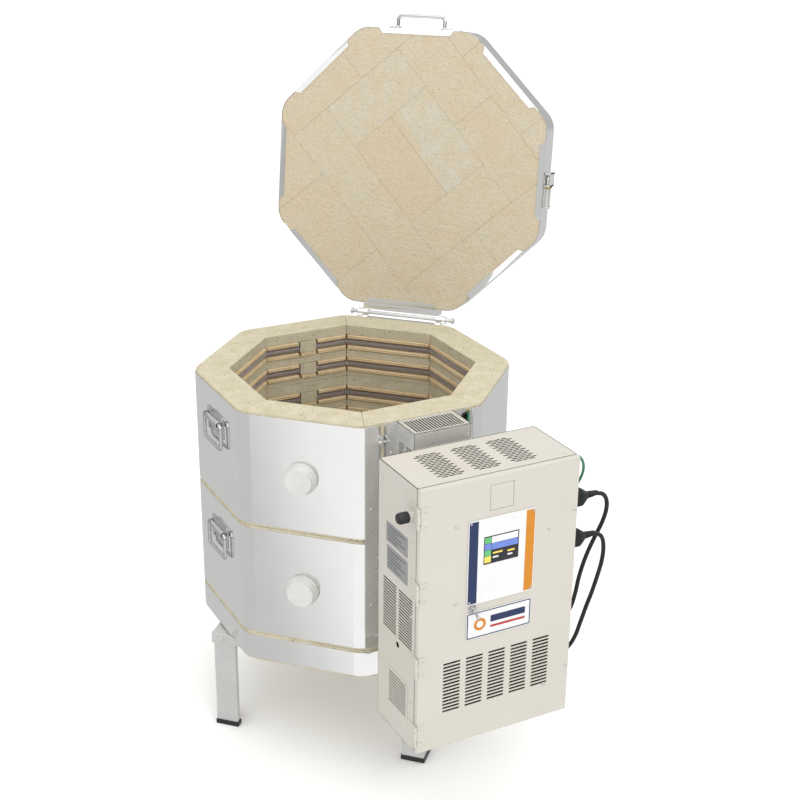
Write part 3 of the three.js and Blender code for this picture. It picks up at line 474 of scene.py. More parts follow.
class Shape:
    """Gathers solids drawn in millimetres into one mesh object."""

    def __init__(self):
        self.verts = []
        self.faces = []
        self.tones = []
        self.tone = 0.5

    def add(self, verts, faces):
        start = len(self.verts)
        self.verts.extend(Vector(v) for v in verts)
        self.faces.extend([start + i for i in face] for face in faces)
        self.tones.extend([self.tone] * len(faces))
        return self

    def box(self, x, y, z, turn=None):
        corners = [Vector((a, b, c)) for c in z for b in y for a in x]
        if turn:
            corners = [turn @ corner for corner in corners]
        faces = [(0, 2, 3, 1), (4, 5, 7, 6), (0, 1, 5, 4), (2, 6, 7, 3), (0, 4, 6, 2), (1, 3, 7, 5)]
        return self.add(corners, faces)

    def loft(self, rings, closed=False, caps=True):
        """Joins rings of equal length; the first and last get caps unless the loft is closed."""
        count = len(rings[0])
        verts = [point for ring in rings for point in ring]
        faces = []
        spans = len(rings) if closed else len(rings) - 1
        for i in range(spans):
            for j in range(count):
                a, b = i * count + j, i * count + (j + 1) % count
                c, d = ((i + 1) % len(rings)) * count + (j + 1) % count, ((i + 1) % len(rings)) * count + j
                faces.append((a, b, c, d))
        if caps and not closed:
            faces.append(tuple(reversed(range(count))))
            faces.append(tuple((len(rings) - 1) * count + j for j in range(count)))
        return self.add(verts, faces)

    def lathe(self, start, direction, profile, sides=32):
        """Turns [along, radius] points about the line from `start`; a zero radius closes an end."""
        frame_of = Vector(direction).normalized().to_track_quat("Z", "Y").to_matrix()
        rings = []
        for along, radius in profile:
            radius = max(radius, 0.001)
            ring = []
            for i in range(sides):
                turn = 2 * math.pi * i / sides
                across = (radius * math.cos(turn), radius * math.sin(turn))
                ring.append(Vector(start) + frame_of @ Vector((*across, along)))
            rings.append(ring)
        return self.loft(rings)

    def rod(self, start, end, radius, sides=16, edge=0.5):
        axis = Vector(end) - Vector(start)
        length = axis.length
        edge = min(edge, radius * 0.6, length * 0.4)
        return self.lathe(start, axis, [(0, radius - edge), (edge * 0.3, radius - edge * 0.3), (edge, radius),
                                        (length - edge, radius), (length - edge * 0.3, radius - edge * 0.3),
                                        (length, radius - edge)], sides)

    def tube(self, points, radius, sides=10):
        """A round bar along points, without twist."""
        points = [Vector(p) for p in points]
        normal = None
        rings = []
        for i, point in enumerate(points):
            ahead = points[min(i + 1, len(points) - 1)] - points[max(i - 1, 0)]
            ahead.normalize()
            if normal is None:
                normal = ahead.orthogonal().normalized()
            normal = (normal - ahead * normal.dot(ahead)).normalized()
            across = ahead.cross(normal)
            rings.append([point + radius * (normal * math.cos(a) + across * math.sin(a))
                          for a in (2 * math.pi * j / sides for j in range(sides))])
        return self.loft(rings)

    def sheet(self, outline, holes, low, high, axis="x"):
        """A flat sheet with holes. Points are (y, z), (x, z) or (x, y) for an axis of x, y or z."""
        place = {"x": lambda p, d: (d, p[0], p[1]), "y": lambda p, d: (p[0], d, p[1]),
                 "z": lambda p, d: (p[0], p[1], d)}[axis]
        loops = [outline, *holes]
        flat = [p for loop in loops for p in loop]
        count = len(flat)
        verts = [place(p, low) for p in flat] + [place(p, high) for p in flat]
        faces = []
        for triangle in triangulated(loops):
            faces.append(tuple(triangle))
            faces.append(tuple(i + count for i in reversed(triangle)))
        start = 0
        for loop in loops:
            size = len(loop)
            for i in range(size):
                a, b = start + i, start + (i + 1) % size
                faces.append((a, b, b + count, a + count))
            start += size
        return self.add(verts, faces)

    def prism(self, outline, low, high, axis="z"):
        return self.sheet(outline, [], low, high, axis)

    def screw(self, place, direction, radius=3.2, height=1.8):
        """A pan head with a cross cut into its dome."""
        dome = [(0, radius), (height * 0.35, radius), (height * 0.75, radius * 0.82), (height, radius * 0.45),
                (height, 0)]
        self.lathe(place, direction, dome, 16)
        turn = Vector(direction).normalized().to_track_quat("Z", "Y").to_matrix().to_4x4()
        long, narrow = radius * 0.5, radius * 0.11
        for x, y in ((long, narrow), (narrow, long)):
            self.box((-x, x), (-y, y), (height - 0.2, height + 0.06), Matrix.Translation(place) @ turn)
        return self

    def bolt(self, place, direction, radius=5.0, height=3.6):
        """A hexagon head on a washer."""
        washer = [(0, radius * 1.3), (0.8, radius * 1.3), (1.0, radius * 1.15), (1.0, 0)]
        self.lathe(place, direction, washer, 20)
        self.lathe(Vector(place) + Vector(direction).normalized() * 0.9, direction,
                   [(0, radius), (height * 0.8, radius), (height, radius * 0.8), (height, 0)], 6)
        return self

    def build(self, name, paint, matrix, body="kiln", nodes=(), bevel=0.0, segments=2, angle=35, outward=True,
              thick=0.0, weld=False):
        """Makes the mesh object. Sheets that aren't closed get their thickness from `thick`, inwards."""
        mesh = bpy.data.meshes.new(name)
        mesh.from_pydata([matrix @ v for v in self.verts], [], self.faces)
        tone = mesh.attributes.new("tone", "FLOAT", "FACE")
        tone.data.foreach_set("value", self.tones)
        shape = bmesh.new()
        shape.from_mesh(mesh)
        if weld:
            bmesh.ops.remove_doubles(shape, verts=shape.verts, dist=2e-6)
        if outward:
            bmesh.ops.recalc_face_normals(shape, faces=shape.faces)
        if not thick:
            bmesh.ops.dissolve_limit(shape, angle_limit=math.radians(0.3), verts=shape.verts,
                                     edges=shape.edges, delimit=set())
        shape.to_mesh(mesh)
        shape.free()
        finish_mesh(mesh, angle)
        mesh.materials.append(PAINTS[paint])
        piece = placed(name, mesh)
        if thick:
            solid = piece.modifiers.new("thickness", "SOLIDIFY")
            solid.thickness = thick / 1000
            solid.offset = -1
        if bevel:
            add_bevel(piece, bevel, segments, angle)
        return declare(piece, body, nodes)


def detailed(node, paint, bevel, body="kiln"):
    """A bevelled copy of a CAD node, which then stands for it."""
    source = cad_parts[node]
    mesh = source.data.copy()
    mesh.transform(source.matrix_world)
    mesh.materials.clear()
    mesh.materials.append(PAINTS[paint])
    shape = bmesh.new()
    shape.from_mesh(mesh)
    bmesh.ops.remove_doubles(shape, verts=shape.verts, dist=2e-5)
    bmesh.ops.dissolve_limit(shape, angle_limit=math.radians(1), verts=shape.verts, edges=shape.edges)
    shape.to_mesh(mesh)
    shape.free()
    finish_mesh(mesh)
    piece = placed(f"{node}_shaped", mesh)
    add_bevel(piece, bevel)
    return declare(piece, body, (node,))


def rounded_path(points, bend, steps=6):
    """The points of a path whose corners are arcs of radius `bend`."""
    points = [Vector(p) for p in points]
    path = [points[0]]
    for before, corner, after in zip(points, points[1:], points[2:]):
        back, ahead = (before - corner).normalized(), (after - corner).normalized()
        half = math.acos(max(-1, min(1, back.dot(ahead)))) / 2
        reach = bend / math.tan(half)
        centre = corner + (back + ahead).normalized() * (bend / math.sin(half))
        start, end = corner + back * reach - centre, corner + ahead * reach - centre
        for i in range(steps + 1):
            share = i / steps
            path.append(centre + start.slerp(end, share).normalized() * bend)
    path.append(points[-1])
    return path


# ---------------------------------------------------------------- cords
ROUTES = {
    "upper_jumper_cord": (
        (490, 228, 117), (490, 240, 118), (487, 257, 125), (481, 270, 142), (473, 277, 166), (464, 277, 194),
        (456, 271, 222), (449, 263, 252), (443, 256, 284), (438, 251, 318), (434, 248, 352), (428, 243, 384),
        (416, 232, 410), (398, 215, 426), (376, 193, 432), (354, 167, 427), (338, 139, 412), (329, 112, 397),
        (325, 88, 391), (325, 66, 390),
    ),
    "lower_jumper_cord": (
        (490, 228, 197), (490, 240, 198), (487, 256, 206), (481, 268, 222), (474, 276, 246), (467, 279, 276),
        (460, 277, 308), (454, 272, 342), (448, 265, 376), (443, 258, 410), (438, 251, 442), (430, 241, 468),
        (416, 226, 486), (396, 206, 495), (374, 182, 493), (354, 155, 480), (340, 129, 460), (330, 106, 438),
        (325, 86, 425), (325, 66, 420),
    ),
    "ground_wire": (
        (502, 176, 30), (502, 187, 31), (499, 198, 41), (494, 206, 58), (485, 210, 78), (473, 212, 97),
        (461, 212, 113), (447, 209, 131), (430, 203, 147), (408, 193, 157), (384, 179, 157), (360, 161, 149),
        (338, 142, 135), (320, 124, 120), (307, 109, 106), (298, 98, 90), (293.5, 92, 70), (292, 90, 48),
        (292, 90, 26), (292, 90, 6),
    ),
}
SOCKET_DROPS = {"upper": 117, "lower": 197}


def cord_points(name):
    return [BOX_SIDE @ Vector((out, along, TOP - drop)) for out, along, drop in ROUTES[name]]


def make_cord(name, diameter, paint):
    """One smooth curve through the route's points, whose handles follow a Catmull-Rom spline."""
    points = cord_points(name)
    data = bpy.data.curves.new(name, "CURVE")
    data.dimensions = "3D"
    data.bevel_depth = diameter / 2000
    data.bevel_resolution = 3
    data.resolution_u = 8
    spline = data.splines.new("BEZIER")
    spline.bezier_points.add(len(points) - 1)
    for i, point in enumerate(spline.bezier_points):
        along = (points[min(i + 1, len(points) - 1)] - points[max(i - 1, 0)]) / 6
        point.co = points[i]
        point.handle_left_type = point.handle_right_type = "FREE"
        point.handle_left, point.handle_right = points[i] - along, points[i] + along
    piece = placed(f"{name}_flex", data)
    data.materials.append(PAINTS[paint])
    declare(piece, "kiln", (name,))


def rounded_ring(out, along, up, wide, high, radius):
    """A rounded rectangle across a plug, as points."""
    radius = min(radius, wide / 2 - 0.01, high / 2 - 0.01)
    outline = rounded((-wide / 2, wide / 2), (-high / 2, high / 2), radius)
    return [Vector((out + x, along, up + z)) for x, z in outline]


def make_jumper_plug(name):
    """A moulded plug: a ribbed grip that narrows to a ringed strain relief round the cord."""
    out, up = 490, TOP - SOCKET_DROPS[name]
    shape = Shape()
    sections = [(178.7, 22, 28, 5), (180, 25, 31, 7), (184, 26, 32, 8)]
    for i in range(5):
        start = 186 + i * 3.6
        sections += [(start, 26, 32, 8), (start + 0.9, 24.6, 30.6, 8), (start + 2.7, 24.6, 30.6, 8),
                     (start + 3.6, 26, 32, 8)]
    sections += [(206, 25.6, 31, 9), (211, 22, 25, 9), (216, 17, 17.5, 8), (219, 14.5, 14.5, 7.2)]
    shape.loft([rounded_ring(out, along, up, wide, high, radius) for along, wide, high, radius in sections])
    relief = []
    rings, start, pitch = 7, 218.0, 3.4
    for i in range(rings):
        radius = 7.0 - i * 0.36
        begin = start + i * pitch
        relief += [(begin, radius), (begin + pitch * 0.55, radius), (begin + pitch * 0.62, radius - 1.1),
                   (begin + pitch * 0.93, radius - 1.1)]
    relief += [(start + rings * pitch, 4.3), (start + rings * pitch + 0.01, 0)]
    shape.lathe((out, 0, up), RIGHT, relief, 20)
    return shape.build(f"{name}_plug_moulding", "black", BOX_SIDE, "kiln", (f"{name}_jumper_plug",), 0.25, 1)


upper_plug = make_jumper_plug("upper")
lower_plug = make_jumper_plug("lower")
make_cord("upper_jumper_cord", 8, "rubber")
make_cord("lower_jumper_cord", 8, "rubber")
make_cord("ground_wire", 5, "green")


def make_cord_ends():
    """Cord bushings on the element cover and ring terminals on the ground wire."""
    shape = Shape()
    for drop in (390, 420):
        bush = [(0, 9), (1.5, 9), (2.4, 7.6), (9, 6.6), (15, 5.4), (20, 4.4), (20.01, 0)]
        shape.lathe((325, 59.4, TOP - drop), RIGHT, bush, 20)
    shape.build("cord_bushings", "black", BOX_SIDE)
    lugs = Shape()
    lugs.rod((502, 173.2, TOP - 30), (502, 177.5, TOP - 30), 5.4, 18)
    lugs.bolt((502, 173.1, TOP - 30), RIGHT, 4.2, 3)
    lugs.box((289, 293.2), (87.8, 92.2), (TOP - 10, TOP - 4))
    lugs.build("ground_wire_lugs", "brass", BOX_SIDE, bevel=0.3)


make_cord_ends()


# ---------------------------------------------------------------- firebrick
def corner_arc(apothem, radius, steps):
    """Points of the rounded corner at +y of a facet, as (x, y), up to the mitre line."""
    centre = (apothem - radius, (apothem - radius) * TAN)
    return [(centre[0] + radius * math.cos(HALF * i / steps), centre[1] + radius * math.sin(HALF * i / steps))
            for i in range(steps + 1)]


def octagon(apothem, radius, steps=5):
    points = []
    for i in range(SIDES):
        turn = Matrix.Rotation(i * 2 * HALF, 2)
        arc = corner_arc(apothem, radius, steps)
        left = [(x, -y) for x, y in reversed(arc)]
        points += [tuple(turn @ Vector(p)) for p in left[1:] + arc]
    return points


# The gap between two bricks.
JOINT = 0.35


def ring_brick(shape, matrix, profile, outer):
    """One brick of a ring: a profile of [out, up] points run along its facet between the mitred ends."""
    arc = corner_arc(outer, CORNER, 5)
    right = [(arc[0][0], 0.8 * arc[0][1], 0.72)] + [(x, y, y / arc[-1][1]) for x, y in arc]
    stations = [(x, -y, -share) for x, y, share in reversed(right)] + right
    rings = []
    for out_x, out_y, share in stations:
        ring = []
        for out, up in profile:
            trim = JOINT / 2 * (1 if share > 0 else -1) if abs(share) > 0.99 else 0
            if out >= outer:
                ring.append(matrix @ Vector((out_x, out_y - trim, up)))
            else:
                ring.append(matrix @ Vector((out, share * out * TAN - trim, up)))
        rings.append(ring)
    shape.loft(rings, caps=False)
    triangles = triangulated([profile])
    shape.add(rings[0], triangles)
    shape.add(rings[-1], triangles)


def row_height(course, row):
    return TOP - course * COURSE - ROW_DROPS[row]


# The shades that bricks and holders take in turn: 0 leaves the mottled colour and 1 is the dark one.
TONES = (0.25, 0.5, 0.35, 0.6, 0.3, 0.45, 0.65, 0.4)
# The grooves in the bricks that the element holders sit in.
GROOVE = {"half": 16.3, "depth": 30.3}


def make_rings():
    half, depth = GROOVE["half"], GROOVE["depth"]
    for section, name in enumerate(("upper", "lower")):
        shape = Shape()
        for course in (2 * section, 2 * section + 1):
            low = TOP - (course + 1) * COURSE + 0.25
            high = TOP - course * COURSE - 0.25
            profile = [(CHAMBER, low)]
            for row in (1, 0):
                up = row_height(course, row)
                profile += [(CHAMBER, up - half), (CHAMBER + depth, up - half), (CHAMBER + depth, up + half),
                            (CHAMBER, up + half)]
            profile += [(CHAMBER, high), (BRICK, high), (BRICK, low)]
            for i in range(SIDES):
                shape.tone = TONES[(i * 3 + course) % len(TONES)] * 0.7
                ring_brick(shape, about_z(45 * i), profile, BRICK)
        ring = shape.build(f"{name}_ring_bricks", "brick", AXIS @ MM, nodes=(f"{name}_brick_ring",), angle=25,
                           weld=True)
        bore = Shape()
        up = TOP - section * SECTION - PEEP_DROP
        bore.rod((CHAMBER - 40, 0, up), (BRICK + 30, 0, up), 13, 28, 0.1)
        cut(ring, bore, on_facet("B"))
        add_bevel(ring, 0.9, 2, 40)


def cut(piece, cutter_shape, matrix):
    """Takes the cutter's solids out of a piece, for good."""
    mesh = bpy.data.meshes.new("cutter")
    mesh.from_pydata([matrix @ v for v in cutter_shape.verts], [], cutter_shape.faces)
    shape = bmesh.new()
    shape.from_mesh(mesh)
    bmesh.ops.recalc_face_normals(shape, faces=shape.faces)
    shape.to_mesh(mesh)
    shape.free()
    cutter = placed("cutter", mesh)
    modifier = piece.modifiers.new("cut", "BOOLEAN")
    modifier.operation = "DIFFERENCE"
    modifier.solver = "EXACT"
    modifier.object = cutter
    bpy.context.view_layer.update()
    graph = bpy.context.evaluated_depsgraph_get()
    result = bpy.data.meshes.new_from_object(piece.evaluated_get(graph))
    piece.modifiers.remove(modifier)
    bpy.data.objects.remove(cutter)
    old = piece.data
    piece.data = result
    bpy.data.meshes.remove(old)
    finish_mesh(result)


make_rings()

HOLDER = {"half": 16, "depth": 30, "lip": 3, "slot": 8.2, "slot_depth": 24, "gap": 1.6}
BLOCK = {"low": -21, "high": 15, "gap": 3.6}


def holder_piece(shape, matrix, up, start, end):
    """A holder between two places along a facet; None means the mitred corner."""
    half, lip, slot_half = HOLDER["half"], CHAMBER - HOLDER["lip"], HOLDER["slot"]
    back, deep = CHAMBER + HOLDER["depth"], CHAMBER + HOLDER["slot_depth"]
    groove = (half + slot_half) / 2
    profile = [(lip + 1.5, -half), (back, -half), (back, half), (lip + 1.5, half), (lip, half - 1.5),
               (lip, groove + 1.2), (lip + 1, groove), (lip, groove - 1.2), (lip, slot_half + 1.5),
               (lip + 1.5, slot_half), (deep, slot_half), (deep, -slot_half), (lip + 1.5, -slot_half),
               (lip, -slot_half - 1.5), (lip, -groove + 1.2), (lip + 1, -groove), (lip, -groove - 1.2),
               (lip, -half + 1.5)]
    rings = []
    for place, side in ((start, -1), (end, 1)):
        ring = []
        for out, over in profile:
            along = side * (lip * TAN - HOLDER["gap"]) if place is None else place
            if place is None:
                along += side * (out - lip) * TAN
            ring.append(matrix @ Vector((out, along, up + over)))
        rings.append(ring)
    shape.loft(rings, caps=False)
    triangles = triangulated([profile])
    shape.add(rings[0], triangles)
    shape.add(rings[1], triangles)


def make_holders():
    for course in range(4):
        shape = Shape()
        plain = Shape()
        for row in (0, 1):
            up = row_height(course, row)
            for i in range(SIDES):
                turn = about_z(45 * i)
                shape.tone = TONES[(i * 5 + row + course) % len(TONES)]
                if 45 * i == FACETS["G"]:
                    holder_piece(shape, turn, up, None, BLOCK["low"] - BLOCK["gap"])
                    holder_piece(shape, turn, up, BLOCK["high"] + BLOCK["gap"], None)
                    along = (BLOCK["low"], BLOCK["high"])
                    plain.box((CHAMBER - 1.6, CHAMBER + 7), along, (up - 7.6, up + 15.5), turn)
                    lip = (BLOCK["low"] + 1.5, BLOCK["high"] - 1.5)
                    shape.box((CHAMBER - 3, CHAMBER + 12), lip, (up - 15.8, up - 8.4), turn)
                else:
                    holder_piece(shape, turn, up, None, None)
        shape.build(f"element_holders_{course + 1}", "holder", AXIS @ MM,
                    nodes=(f"element_holders_course_{course + 1}",), bevel=0.5, segments=1, angle=50,
                    weld=True)
        plain.build(f"element_holder_blocks_{course + 1}", "brick", AXIS @ MM, bevel=0.8)


make_holders()

COIL = {"radius": 6.6, "wire": 1.0, "pitch": 4.3, "turn_points": 10, "centre": 6.4, "sides": 5}
TAIL = {"along": -25, "out": ON_JACKET + 17}


def coil_path(up):
    """A helix that follows the chamber's eight sides."""
    apothem = CHAMBER + COIL["centre"]
    side = 2 * apothem * TAN
    turns = round(SIDES * side / COIL["pitch"])
    points = []
    for i in range(turns * COIL["turn_points"] + 1):
        run = SIDES * side * i / (turns * COIL["turn_points"])
        index = min(int(run // side), SIDES - 1)
        angle = 2 * math.pi * i / COIL["turn_points"]
        at = Vector((apothem + COIL["radius"] * math.cos(angle), run - index * side - side / 2,
                     up + COIL["radius"] * math.sin(angle)))
        points.append(about_z(45 * index) @ at)
    return points


def make_elements():
    to_control = about_z(FACETS["C"])
    for course in range(4):
        shape = Shape()
        for row in (0, 1):
            up = row_height(course, row) - HOLDER["slot"] + COIL["radius"] + 1.1
            shape.tube(coil_path(up), COIL["wire"], COIL["sides"])
            level = row_height(course, row)
            start = Vector((CHAMBER + 16, TAIL["along"], level))
            end = Vector((TAIL["out"], TAIL["along"], level))
            shape.tube([to_control @ start, to_control @ (start + end) / 2, to_control @ end], 2.6, 10)
        low, high = row_height(course, 1), row_height(course, 0)
        ends_and_middle = (low - 6, (low + high) / 2, high + 6)
        bar = [to_control @ Vector((ON_JACKET + 13, TAIL["along"], z)) for z in ends_and_middle]
        shape.tube(bar, 3.2, 8)
        shape.build(f"element_coil_{course + 1}", "coil", AXIS @ MM, nodes=(f"heating_element_{course + 1}",),
                    angle=60, outward=False)


make_elements()
detailed("floor_slab", "brick", 1.2)


# ---------------------------------------------------------------- jackets and floor band
# How far the lid band's tabs spring down, and how far on the hinge's facet, where they lie close.
TAB_TILT = 0.9
HINGE_TAB_TILT = 0.2


def band_surface(shape, low, high, holes, gap=None, tabs=None):
    """The outer face of a steel band round all eight sides, with round holes as {facet: [(y, z, radius)]}."""
    arc = corner_arc(JACKET, CORNER + 1, 8)
    flat = arc[0][1]
    for name, degrees in FACETS.items():
        turn = about_z(degrees)
        spans = [(-flat, flat)]
        if gap and name == "C":
            spans = [(-flat, gap[0]), (gap[1], flat)]
        for start, end in spans:
            outline = [(start, low), (end, low), (end, high), (start, high)]
            if tabs:
                outline[1:1] = [(-tabs[0], low), (tabs[0], low)]
            loops = [outline] + [circle(y, z, radius, 28) for y, z, radius in holes.get(name, ())
                                 if start < y < end]
            points = [p for loop in loops for p in loop]
            faces = []
            for triangle in triangulated(loops):
                a, b, c = (Vector(points[i]) for i in triangle)
                turned_left = (b - a).cross(c - a) > 0
                faces.append(triangle if turned_left else tuple(reversed(triangle)))
            shape.add([turn @ Vector((JACKET, y, z)) for y, z in points], faces)
        if tabs:
            outer, inner, reach = tabs
            tilt = HINGE_TAB_TILT if name == "F" else TAB_TILT
            corners = [(JACKET, -outer, low), (JACKET, outer, low), (JACKET - 1 - reach, inner, low - tilt),
                       (JACKET - 1 - reach, -inner, low - tilt)]
            shape.add([turn @ Vector(c) for c in corners], [(3, 2, 1, 0)])
        rings = [[turn @ Vector((x, y, low)), turn @ Vector((x, y, high))] for x, y in arc]
        mitre = Matrix.Rotation(2 * HALF, 4, "Z")
        rings += [[turn @ mitre @ Vector((x, -y, z)) for z in (low, high)] for x, y in reversed(arc[:-1])]
        for (a, b), (c, d) in zip(rings, rings[1:]):
            shape.add([a, c, d, b], [(0, 1, 2, 3)])


SEAM = (-86, -79)


def make_jacket_clamps(name, top):
    """The screw clamps over the seam of a jacket, one near each end."""
    clamps = Shape()
    screw_out = JACKET + 6
    for up in (top - 33, top - SECTION + 33):
        for y, foot in ((SEAM[0] - 3, -6), (SEAM[1], 0)):
            clamps.box((JACKET - 0.2, JACKET + 10), (y, y + 3), (up - 9, up + 9))
            clamps.box((JACKET - 0.2, JACKET + 1.4), (y + foot, y + 9), (up - 9, up + 9))
        clamps.rod((screw_out, SEAM[0] - 8, up), (screw_out, SEAM[1] + 8, up), 2.1, 12)
        clamps.bolt((screw_out, SEAM[0] - 3, up), LEFT, 3.6, 3)
        clamps.bolt((screw_out, SEAM[1] + 3, up), RIGHT, 3.6, 3)
    clamps.build(f"{name}_jacket_clamps", "steel", BOX_SIDE, bevel=0.4)


def make_steel_band(name, node, low, high, holes, gap=None):
    shape = Shape()
    band_surface(shape, low, high, holes, gap)
    shape.build(name, "stainless", AXIS @ MM, nodes=(node,), bevel=0.2, segments=1, angle=50, outward=False,
                thick=1.0, weld=True)


def make_jackets():
    for section, name in enumerate(("upper", "lower")):
        top = TOP - section * SECTION
        peephole = {"B": [(0, top - PEEP_DROP, 14)]}
        make_steel_band(f"{name}_steel_jacket", f"{name}_jacket", top - SECTION + 5, top - 5, peephole, SEAM)
        make_jacket_clamps(name, top)
    make_steel_band("floor_steel_band", "floor_band", STAND_TOP + 4, RING_BASE - 5, {})


make_jackets()


# ---------------------------------------------------------------- peephole plugs
def make_peephole_plugs():
    for section, name in enumerate(("upper", "lower")):
        shape = Shape()
        profile = [(CHAMBER + 4, 0), (CHAMBER + 4, 9.2), (CHAMBER + 6, 10.6), (ON_JACKET - 0.5, 12.5),
                   (ON_JACKET, 12.5), (ON_JACKET, 30.2), (ON_JACKET + 0.6, 31), (ON_JACKET + 6, 30.8),
                   (ON_JACKET + 6.8, 29.8), (ON_JACKET + 13, 28.4), (ON_JACKET + 13.8, 27.4),
                   (ON_JACKET + 19.2, 25.8), (ON_JACKET + 20, 24.9), (ON_JACKET + 20, 0)]
        up = TOP - section * SECTION - PEEP_DROP
        shape.lathe((0, 0, up), OUT, profile, 48)
        node = f"{name}_peephole_plug"
        shape.build(f"{node}_cast", "ceramic", on_facet("B"), node, (node,), angle=22)


make_peephole_plugs()

# ---------------------------------------------------------------- drop handles
HANDLE = {
    "half": 40, "pivot_drop": 60, "bar": 3.5, "arm": 41.5, "length": 48, "out": ON_JACKET + 7.5, "bend": 6.5,
    "in_barrel": 18,
}


def make_handle_mount(name, facet, top, pivot):
    """A plate with the barrel that the bail turns in, and its rivets."""
    plate = Shape()
    half = HANDLE["half"]
    plate.prism(rounded((-half, half), (top - 90, top - 45), 5), ON_JACKET, ON_JACKET + 1.5, "x")
    barrel = [(-33, 4.3), (-33, 6.0), (-32.4, 6.4), (32.4, 6.4), (33, 6.0), (33, 4.3)]
    rings = [[(x, along, z) for x, z in circle(HANDLE["out"], pivot, radius, 28)] for along, radius in barrel]
    plate.loft(rings, closed=True)
    plate.box((ON_JACKET + 1, ON_JACKET + 4), (-33, 33), (pivot + 1, pivot + 8))
    for y in (-31, -10, 10, 31):
        plate.lathe((ON_JACKET + 1.4, y, top - 82), OUT, [(0, 3.4), (1, 3.1), (1.7, 1.8), (1.9, 0)], 14)
    for y in (-36, 36):
        plate.lathe((ON_JACKET + 1.4, y, top - 52), OUT, [(0, 3), (0.9, 2.7), (1.5, 1.6), (1.7, 0)], 14)
    plate.build(f"{name}_mount", "chrome", on_facet(facet), "kiln", (f"{name}_plate",), 0.35)


def make_bail(name, facet, pivot):
    bail = Shape()
    arm, low, end = HANDLE["arm"], pivot - HANDLE["length"], HANDLE["in_barrel"]
    path = [(0, end, pivot), (0, arm, pivot), (0, arm, low)]
    path += [(0, -y, z) for _, y, z in reversed(path)]
    path = [p + Vector((HANDLE["out"], 0, 0)) for p in rounded_path(path, HANDLE["bend"])]
    bail.tube(path, HANDLE["bar"], 16)
    bail.build(f"{name}_bail_rod", "chrome", on_facet(facet), f"{name}_bail", (f"{name}_bail",))


def make_handles():
    for section, level in enumerate(("upper", "lower")):
        top = TOP - section * SECTION
        pivot = top - HANDLE["pivot_drop"]
        for side, facet in (("left", "A"), ("right", "E")):
            name = f"{level}_{side}_handle"
            make_handle_mount(name, facet, top, pivot)
            make_bail(name, facet, pivot)


make_handles()


# ---------------------------------------------------------------- lid
def clipped(polygon, boundary):
    """The part of a convex polygon inside a convex boundary that runs anticlockwise."""
    for start, end in zip(boundary, boundary[1:] + boundary[:1]):
        edge = Vector(end) - Vector(start)
        if edge.length < 1e-9:
            continue
        kept = []
        for a, b in zip(polygon, polygon[1:] + polygon[:1]):
            side_a = edge.cross(Vector(a) - Vector(start))
            side_b = edge.cross(Vector(b) - Vector(start))
            if side_a >= 0:
                kept.append(a)
            if side_a * side_b < 0:
                share = side_a / (side_a - side_b)
                kept.append(tuple(Vector(a) + (Vector(b) - Vector(a)) * share))
        polygon = kept
        if not polygon:
            return []
    return polygon


# The lid's bricks, on lines of columns and rows turned by LID_TURN: (columns, rows, tone) of each brick.
LID_TURN = 48.5
LID_COLUMNS = (-340, -210, -110, -12, 88, 186, 340)
LID_ROWS = (-340, -232, -135, -37, 62, 157, 340)
LID_BRICKS = (
    ((0, 2), (0, 1), 0.45), ((2, 4), (0, 1), 0.5), ((4, 6), (0, 1), 0.35),
    ((1, 3), (1, 2), 0.5), ((3, 5), (1, 2), 0.6), ((0, 1), (1, 3), 0.55), ((5, 6), (1, 3), 0.45),
    ((1, 2), (2, 4), 0.25), ((2, 4), (2, 3), 0.0), ((2, 4), (3, 4), 0.95), ((4, 5), (2, 4), 0.6),
    ((0, 1), (3, 5), 0.7), ((5, 6), (3, 5), 0.5), ((1, 3), (4, 5), 0.4), ((3, 5), (4, 5), 0.55),
    ((0, 2), (5, 6), 0.65), ((2, 4), (5, 6), 0.75), ((4, 6), (5, 6), 0.5),
)


def make_lid_bricks():
    shape = Shape()
    boundary = octagon(BRICK, CORNER, 6)
    turn = Matrix.Rotation(math.radians(LID_TURN), 2)
    gap = 0.18
    for columns, rows, tone in LID_BRICKS:
        x = (LID_COLUMNS[columns[0]] + gap, LID_COLUMNS[columns[1]] - gap)
        y = (LID_ROWS[rows[0]] + gap, LID_ROWS[rows[1]] - gap)
        brick = clipped([tuple(turn @ Vector(p)) for p in rectangle(x, y)], boundary)
        if len(brick) < 3:
            continue
        shape.tone = tone
        low = [(p[0], p[1], LID_LOW) for p in brick]
        high = [(p[0], p[1], LID_HIGH) for p in brick]
        shape.loft([low, high])
    shape.build("lid_bricks", "lid_brick", on_lid(), "lid", ("lid_slab",), bevel=0.45, angle=40)
    core = Shape()
    core.prism(octagon(BRICK - 2, CORNER, 4), LID_LOW + 0.9, LID_HIGH - 0.9)
    core.build("lid_brick_cement", "lid_brick", on_lid(), "lid")


def make_lid_band():
    shape = Shape()
    band_surface(shape, TOP + TAB_TILT, LID_HIGH - 1.4, {}, tabs=(80, 72, 10.5))
    shape.build("lid_steel_band", "stainless", on_lid(), "lid", ("lid_band",), bevel=0.8, angle=50,
                outward=False, thick=1.0, weld=True)


GRIP = {"half": 50, "out": JACKET + 26.3, "bar": 3.7, "up": TOP + 38}


